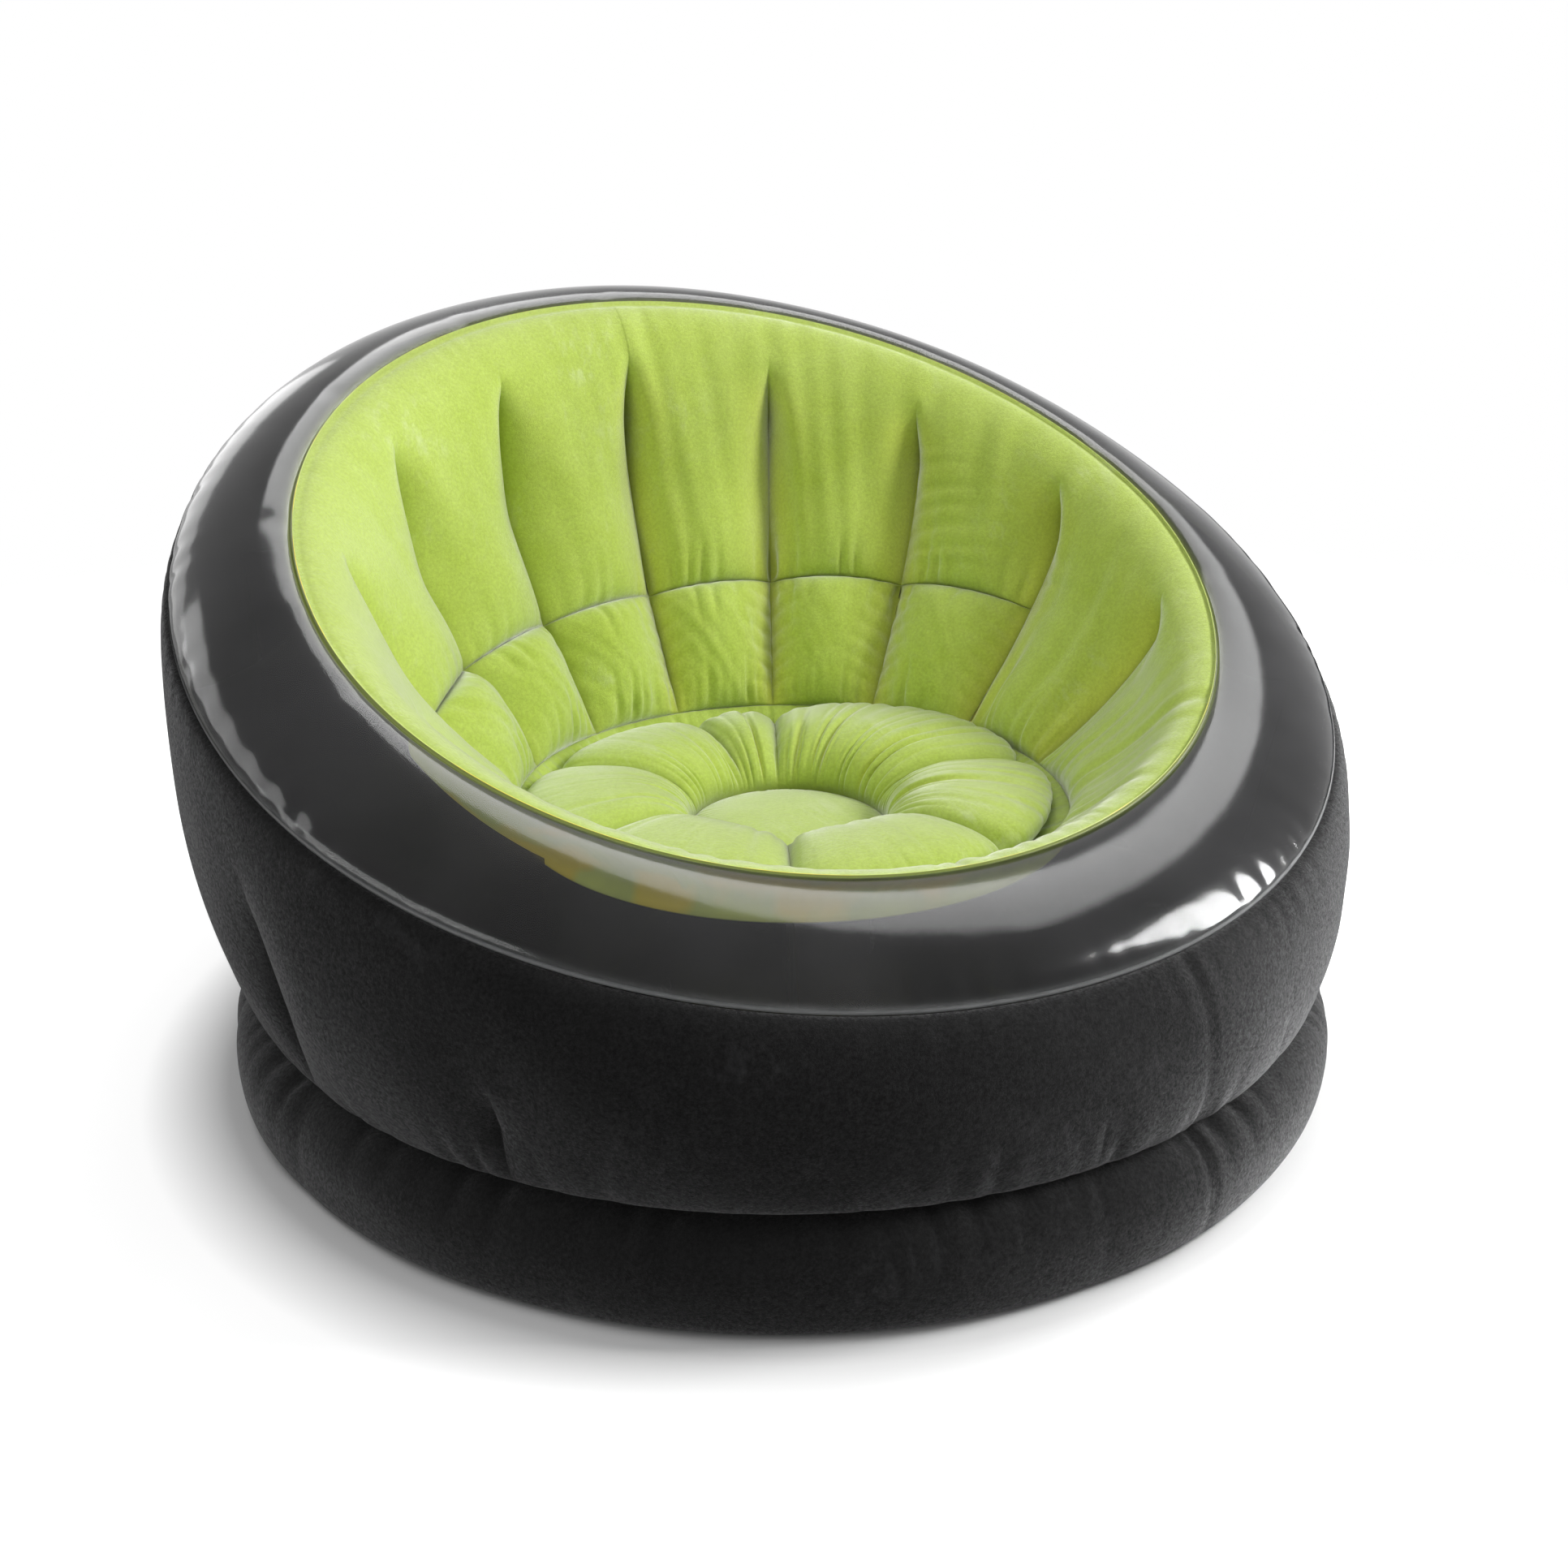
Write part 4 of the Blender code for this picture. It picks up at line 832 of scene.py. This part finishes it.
def packets(angle, radius, down):
    """Depth of those folds. Each lies only on its own side of its web."""
    total = 0.0 * (angle + down)
    for index, (web, side, start, stop, wave, reach, slope, depth) in enumerate(FOLDS):
        away = side * turn_from(angle, web_at(web)) * radius
        along = down + slope * away
        wander = 0.9 * waves(along, 0.04, 0.11, FOLDS_SEED + index)
        fold = (0.5 + 0.5 * np.cos(2 * math.pi * along / wave + wander)) ** 1.6
        window = np.sin(math.pi * np.clip((down - start) / (stop - start), 0, 1)) ** 0.6
        total = total + depth * fold * window * np.where(away > 0, fade(away, reach), 0)
    return total


def low_gathers(angle):
    """Gathers that run through the low weld, sharp and uneven."""
    return pleats(angle, 62, 73, 3.0) + 0.6 * pleats(angle, 118, 74, 2.4)


def corner(across, along):
    """Mask of painted shade where a web meets a weld."""
    return np.exp(-across / 0.009 - along / 0.006)


def warmth(side):
    """How much painted yellow light, as if it came through the skin, lies beside the creases, more
    on the folded side.
    """
    return 0.15 + 0.6 * side


def cup_wall():
    """Upper wall: down to the horizontal seam at the back, and to the low weld elsewhere.

    Its rows are in two parts. At the back the second part is folded away behind the seam.
    """
    angle = web_angles(56, 0.75)[:, None]
    has_seam = np.abs(web_distance(angle)) < SEAM_CHANNELS
    split = split_share(angle)
    end = np.where(has_seam, split, low_share(angle))
    upper = crowded(76, 0.55)[None, :] * split
    below = np.linspace(0, 1, 41)[None, 1:]
    share = np.concatenate([upper, mix(split, end, below)], axis=1)
    tuck = np.concatenate([0 * upper, np.where(has_seam, 0.95 * below, 0)], axis=1)
    place = share / end
    length = bowl_ends(angle)[4]
    rise = np.where(tuck > 0, -LAP * tuck, wall_rise(angle, share, end, has_seam))
    grid = bowl_grid(angle, share, rise)
    radius = bowl_line(angle, share)[0]
    down, left = share * length, (end - share) * length
    side, creased = right_side(angle), is_creased(angle, CREASE_CHANNELS)
    depth = eased((share - 0.10) / 0.12)
    near = web_gap(angle, radius)
    amount = -packets(angle, radius, down) * depth
    amount = amount - gathers(angle, down, WALL_TOP_GATHERS)
    at_seam = gathers(angle, left, WALL_SEAM_GATHERS)
    at_low = (0.0034 * low_gathers(angle) + 0.0012) * fade(left, 0.016)
    long_folds = gathers(angle, left, WALL_LONG_GATHERS) * (0.12 + 0.98 * side)
    amount = amount - np.where(has_seam, at_seam * (0.4 + side), at_low + long_folds)
    soft = waves(down + 3 * angle, 0.20, 0.50, 61) * round_rise(place)
    amount = amount + (0.0003 + 0.0008 * side) * soft
    front = eased((np.abs(web_distance(angle)) - 4.4) / 1.0)
    broad = 0.0014 * front * round_waves(angle, 7, 15, 63)
    amount = amount + broad * round_rise(place) * (0.2 + side)
    amount = amount - 0.0028 * front * pleats(angle, 90, 64, 1.4) * round_rise(place)
    grid = displace(grid, np.where(tuck > 0, 0, amount))
    flange = to_points(angle, bowl_ends(angle)[0], bowl_ends(angle)[1] + FLANGE)
    grid = np.concatenate([flange, grid, weld_lap(angle, end)], axis=1)
    # Painted shade along the creases, the low weld and where webs meet it, and painted yellow light
    # beside the creases.
    crease = creased * depth * line(near, 0.003) + line(left, 0.0014)
    crease = crease + creased * depth * corner(near, left)
    warm = creased * depth * line(near, 0.022) * warmth(side)
    rub = 0.35 + 0.65 * (1 - side) * line(down, 0.10)
    masks = edged(crease=crease, warm=warm, rub=rub)
    return skin("cup_wall", grid, "cup_wall_panel", [LIME, LIME_BACK], masks)


def weld_lap(angle, share, drop=0.0):
    """Edge of a panel of the bowl, tucked in behind its seam."""
    inward = bowl_inward(angle, share)
    radius, height = bowl_line(angle, share)
    return to_points(angle, radius - inward[0] * LAP, height - inward[1] * LAP - drop)


def edged(**masks):
    """Masks with a row more at each end, for the laps."""
    wide = {}
    for name, values in masks.items():
        values = np.clip(values, 0, 1)
        wide[name] = np.concatenate([values[:, :1], values, values[:, -1:]], axis=1)
    return wide


def lumbar():
    """Short pillows between the horizontal seam and the low weld."""
    turn_gap = 0.0002
    angle = web_angles(56, 0.75, -SEAM_CHANNELS, 2 * SEAM_CHANNELS)
    angle = np.append(angle, math.pi / 2 + SEAM_CHANNELS * CHANNEL_ANGLE)
    angle[0] += turn_gap
    angle[-1] -= turn_gap
    angle = angle[:, None]
    top, low = split_share(angle), low_share(angle)
    across = crowded(64, 0.75)[None, :]
    share = mix(top, low, across)
    length = bowl_ends(angle)[4]
    radius = bowl_line(angle, share)[0]
    middle, half = across_channel(angle), radius * CHANNEL_ANGLE / 2
    full = wall_full(angle)
    pillow = blown(middle, LUMBAR_PLUMP * LUMBAR_RISE / half)
    top_pillow = blown(middle, full / half)
    lift = SEAM_LIFT * full * top_pillow * (1 - across) ** 2
    floor = CREASE_FLOOR * eased(8 * across * (1 - across))
    rise = LUMBAR_PLUMP * LUMBAR_RISE * pillow * round_rise(across**0.85) + lift + floor
    grid = bowl_grid(angle, share, rise)
    down, left = (share - top) * length, (low - share) * length
    side = right_side(angle)
    near = web_gap(angle, radius)
    level = down + 0.25 * near + 0.02 * np.floor(channel_phase(angle)[1])
    wander = 1.2 * waves(level, 0.05, 0.12, 71)
    short = (0.5 + 0.5 * np.cos(2 * math.pi * level / 0.021 + wander)) ** 1.8
    amount = -0.0022 * short * fade(near, 0.010) * side * round_rise(across)
    amount = amount - 0.0044 * low_gathers(angle) * fade(left, 0.013) * (1 - np.abs(middle) ** 4)
    amount = amount - gathers(angle, down, (0.0022 + 0.0018 * side, 84, 75, 2.4, 0.012))
    amount = amount + 0.0006 * waves(down * 2 + angle, 0.05, 0.2, 77) * round_rise(across)
    grid = displace(grid, amount, closed=False)
    grid = np.concatenate([weld_lap(angle, top, LAYER), grid, weld_lap(angle, low)], axis=1)
    grid[:, 1, 2] -= LAYER
    # Painted shade along the creases, the seam and the low weld, and painted yellow light beside
    # the creases.
    crease = line(near, 0.003) + line(down, 0.0014) + 0.5 * line(left, 0.0014)
    crease = crease + 1.2 * corner(near, down)
    warm = line(near, 0.016) * warmth(side)
    masks = edged(crease=crease, warm=warm, rub=0.5 + 0 * crease)
    return skin("lumbar", grid, "lumbar_panel", [LIME, LIME_BACK], masks, closed=False)


def foot_band():
    """Narrow band between the low weld and the seat."""
    angle = web_angles(40, 0.3)[:, None]
    low = low_share(angle)
    across = crowded(28, 0.6)[None, :]
    share = mix(low, 1.0, across)
    grid = bowl_grid(angle, share, FOOT_RISE * round_rise(across))
    grid[:, :, 2] -= LAYER * (1 - across)
    amount = -0.0026 * low_gathers(angle) * fade(across * FOOT_BAND, 0.012)
    amount = amount - gathers(angle, (1 - across) * FOOT_BAND, FOOT_GATHERS)
    grid = displace(grid, amount)
    foot_radius, foot_height = bowl_ends(angle)[2:4]
    last = to_points(angle, foot_radius, foot_height - LAP)
    grid = np.concatenate([weld_lap(angle, low, LAYER), grid, last], axis=1)
    # Painted shade along both welds.
    crease = 0.4 * line(across * FOOT_BAND, 0.003) + line((1 - across) * FOOT_BAND, 0.004)
    masks = edged(crease=crease + 0 * angle, rub=0.5 + 0 * (crease + angle))
    return skin("foot_band", grid, "foot_band_panel", [LIME, LIME_BACK], masks)


# Seat.


def seat_creases(angle):
    """Distance in radians to the nearest crease of the seat."""
    off = turn_from(angle[..., None], web_at(np.array(SEAT_PLACES)))
    return np.abs(off).min(axis=-1)


def seat_ring():
    """Ring of the seat: fat pillows between radial creases, gathered at both of its welds."""
    angle = web_angles(64, 0.6)[:, None]
    outer = set_back(angle, FOOT_RADIUS) - LAYER / 2
    inner = set_back(angle, CENTRE_RADIUS) + LAYER / 2
    share = crowded(84, 0.8)[None, :]
    off = seat_creases(angle[:, 0])[:, None]
    arc = off * mix(outer, inner, share)
    sharp, broad = line(arc, 0.009), line(arc, 0.026)
    wide = np.exp(-((turn_from(angle, WIDE_PILLOW) / 0.55) ** 2))
    rise = RING_RISE + 0.003 + 0.004 * wide - RING_CREASE * (0.65 * sharp + 0.50 * broad)
    over = mix(*RING_OVERHANGS, backness(angle)) + 0.025 * np.cos(angle) ** 2 + 0.012 * wide
    over = over * (1 - 0.45 * sharp - 0.25 * broad)
    swell = 2 * round_rise(share)
    radius = mix(outer, inner, share) + over * swell * np.maximum(1 - 2 * share, 0)
    radius = radius - 0.007 * (1 - 0.7 * broad) * swell * np.maximum(2 * share - 1, 0)
    height = mix(FOOT_HEIGHT, CENTRE_HEIGHT, share) + rise * round_rise(share)
    grid = to_points(angle, radius, height)
    from_out, from_in = share * (outer - inner), (1 - share) * (outer - inner)
    side = right_side(angle)
    long_folds = pleats(angle, 34, 91, 2.8)
    amount = (0.0016 + 0.0052 * side) * long_folds * fade(from_in, 0.034)
    amount = amount + gathers(angle, from_in, RING_INNER_GATHERS)
    amount = amount + gathers(angle, from_out, (0.0006 + 0.0018 * side, 58, 95, 2.6, 0.020))
    amount = amount + gathers(angle, from_out, RING_OUTER_GATHERS)
    away = turn_from(angle, WIDE_PILLOW) * (FOOT_RADIUS + CENTRE_RADIUS) / 2
    cross = (0.5 + 0.5 * np.cos(2 * math.pi * (from_in + 0.8 * np.abs(away)) / 0.030)) ** 2.0
    amount = amount + 0.0008 * cross * side * round_rise(share) * broad
    grid = displace(grid, -amount)
    first = to_points(angle, outer, FOOT_HEIGHT - LAP + 0 * outer)
    last = to_points(angle, inner, CENTRE_HEIGHT - LAP + 0 * inner)
    grid = np.concatenate([first, grid, last], axis=1)
    # Painted shade along the radial creases and both welds, and painted yellow light in the long
    # folds.
    crease = line(arc, 0.003) * round_rise(share) + line(from_in, 0.003) + line(from_out, 0.003)
    warm = 0.5 * side * fade(from_in, 0.02) * long_folds
    masks = edged(crease=crease, warm=warm, rub=0.6 + 0 * crease)
    return skin("seat_ring", grid, "seat_ring_panel", [LIME, LIME_BACK], masks)


def seat_centre():
    """Domed disc in the middle of the seat, from its edge inwards."""
    angle = web_angles(30, 0.0)[:, None]
    edge = set_back(angle, CENTRE_RADIUS) - LAYER / 2
    place = 1 - 0.97 * crowded(48, 0.6)[None, :]
    grid = to_points(angle, edge * place, CENTRE_HEIGHT + CENTRE_RISE * (1 - place**2.8) ** 0.8)
    from_edge = (1 - place) * edge
    amount = gathers(angle, from_edge, DISC_GATHERS)
    amount = amount + 0.0005 * (round_waves(angle, 2, 5, 103) + 1) * np.sin(math.pi * place) ** 2
    grid = displace(grid, -amount)
    first = to_points(angle, edge, CENTRE_HEIGHT - LAP + 0 * edge)
    grid = np.concatenate([first, grid], axis=1)
    # Painted shade along the disc's weld.
    crease = line(from_edge, 0.003)
    crease = np.clip(np.concatenate([crease[:, :1], crease], axis=1), 0, 1)
    masks = {"crease": crease, "rub": 0.8 + 0 * crease}
    return skin("seat_centre", grid, "seat_centre_panel", [LIME, LIME_BACK], masks, cap=True)


# Pieces that keep their CAD solids.

CARRIED = {
    WEB: (
        *(f"wall_web_{number:02d}" for number in range(1, CHANNELS + 1)),
        *(f"seat_web_{number:02d}" for number in range(1, len(SEAT_PLACES) + 1)),
        *(f"base_web_{number:02d}" for number in range(1, len(SEAT_PLACES) + 1)),
        "seat_core_web",
        "waist_diaphragm",
    ),
    BLACK_BACK: ("bottom_panel",),
    VALVE: ("valve_body",),
    STOPPER: ("valve_stopper", "valve_cap"),
    FLAP: ("valve_flap",),
}


def dress():
    """Gives the pieces that keep their CAD solids their materials."""
    for material, nodes in CARRIED.items():
        for node in nodes:
            for slot in frame["nodes"][node].material_slots:
                slot.material = material


# Stage.

AMBIENT = 0.31
FLOOR_HALF, FLOOR_HEIGHT = 9.0, -0.0005
CAMERA, AIM, LENS = (-0.7404, -1.3980, 0.8389), (0, -0.0056, 0.2475), 39.13
# Lamps that light: place, aim, power in watts and size.
LAMPS = {
    "key": ((2.02, -1.14, 1.74), (0, 0, 0.3), 56, (0.9, 0.9)),
    "top": ((1.00, 1.25, 2.55), (0, 0, 0.3), 8, (1.5, 1.5)),
    "side": ((2.40, -0.10, 0.60), (0.1, 0, 0.25), 52, (0.7, 0.8)),
    "fill": ((-0.90, -0.50, 2.80), (0, 0, 0.3), 18, (1.5, 1.5)),
}
# Cards that shine in the clear rim: aim, azimuth and elevation in degrees, size and radiance.
CARD_DISTANCE = 3.0
CARDS = {
    "window": ((0.15, -0.46, 0.26), -24, 25, (0.9, 2.2), 40.0),
    "ceiling": ((0.0, 0.1, 0.5), 47, 56, (3.4, 1.5), 7.0),
    "left_low": ((-0.45, 0.1, 0.5), 110, 17, (2.8, 1.0), 2.2),
    "left_mid": ((-0.45, -0.1, 0.4), 150, 30, (2.4, 1.1), 5.0),
    "left_front": ((-0.4, -0.3, 0.35), 192, 15, (2.8, 1.1), 6.0),
}


def look_at(obj, target):
    obj.rotation_euler = (Vector(target) - obj.location).to_track_quat("-Z", "Y").to_euler()


def lamp(name, location, target, power, size, lights=True, shines=False):
    """Area lamp. One that lights isn't seen in gloss, and one that only shines is seen there."""
    data = bpy.data.lights.new(name, "AREA")
    data.shape = "RECTANGLE"
    data.size, data.size_y = size
    data.energy = power
    obj = bpy.data.objects.new(name, data)
    obj.location = location
    look_at(obj, target)
    obj.visible_diffuse = lights
    obj.visible_glossy = shines
    obj.visible_camera = obj.visible_transmission = False
    bpy.context.scene.collection.objects.link(obj)


def card(name, target, azimuth, elevation, size, radiance):
    """Soft card that only shows in gloss."""
    turn, lift = math.radians(azimuth), math.radians(elevation)
    flat, rise = math.cos(lift) * CARD_DISTANCE, math.sin(lift) * CARD_DISTANCE
    away = Vector((flat * math.cos(turn), flat * math.sin(turn), rise))
    power = radiance * math.pi * size[0] * size[1]
    lamp(name, Vector(target) + away, target, power, size, lights=False, shines=True)


def world():
    """Even grey light, which is seen as white by the eye, in gloss and through a clear skin."""
    scene = bpy.context.scene
    scene.world = bpy.data.worlds.new("studio")
    scene.world.use_nodes = True
    tree = scene.world.node_tree
    path = tree.nodes.new("ShaderNodeLightPath")
    seen = path.outputs["Is Camera Ray"]
    for ray in ("Is Glossy Ray", "Is Transmission Ray"):
        either = tree.nodes.new("ShaderNodeMath")
        either.operation = "MAXIMUM"
        tree.links.new(seen, either.inputs[0])
        tree.links.new(path.outputs[ray], either.inputs[1])
        seen = either.outputs[0]
    strength = tree.nodes.new("ShaderNodeMapRange")
    strength.inputs["To Min"].default_value = AMBIENT
    strength.inputs["To Max"].default_value = 1.0
    tree.links.new(seen, strength.inputs["Value"])
    back = tree.nodes["Background"]
    tree.links.new(strength.outputs["Result"], back.inputs["Strength"])
    back.inputs["Color"].default_value = (1, 1, 1, 1)


def floor():
    """Pale floor that keeps the shadow and turns into the white background further out."""
    half = FLOOR_HALF
    corners = [(-half, -half, 0), (half, -half, 0), (half, half, 0), (-half, half, 0)]
    mesh = bpy.data.meshes.new("floor")
    mesh.from_pydata(corners, [], [(0, 1, 2, 3)])
    plane = bpy.data.objects.new("floor", mesh)
    plane.location.z = FLOOR_HEIGHT
    bpy.context.scene.collection.objects.link(plane)
    n = Nodes("floor")
    where = n.add("ShaderNodeTexCoord").outputs["Object"]
    away = n.add("ShaderNodeVectorMath", {0: where}, operation="LENGTH").outputs["Value"]
    far = n.span(away, 0.75, 2.4)
    grain = n.ramp(n.noise(3.0, 2.0, 0.5, 0.0), (0.3, 0.90), (0.7, 0.93))
    n.set(Base_Color=n.blend(far, grain, (0, 0, 0, 1)), Roughness=0.95, Specular_IOR_Level=0.0)
    eye = n.add("ShaderNodeLightPath").outputs["Is Camera Ray"]
    glow = n.sum(n.span(away, 0.55, 0.63, 0.0, 0.58), n.span(away, 0.63, 2.0, 0.0, 0.42))
    n.set(Emission_Color=(1, 1, 1, 1), Emission_Strength=n.times(eye, glow))
    mesh.materials.append(n.material)


def stage():
    scene = bpy.context.scene
    scene.view_settings.view_transform = "Standard"
    world()
    floor()
    data = bpy.data.cameras.new("camera")
    data.sensor_width = 36.0
    data.lens = LENS
    camera = bpy.data.objects.new("camera", data)
    camera.location = CAMERA
    scene.collection.objects.link(camera)
    look_at(camera, AIM)
    scene.camera = camera
    for name, values in LAMPS.items():
        lamp(name, *values)
    for name, values in CARDS.items():
        card(name, *values)


base_tube()
drum()
rim()
for cushion in (cup_wall(), lumbar(), foot_band(), seat_ring(), seat_centre()):
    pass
dress()
stage()
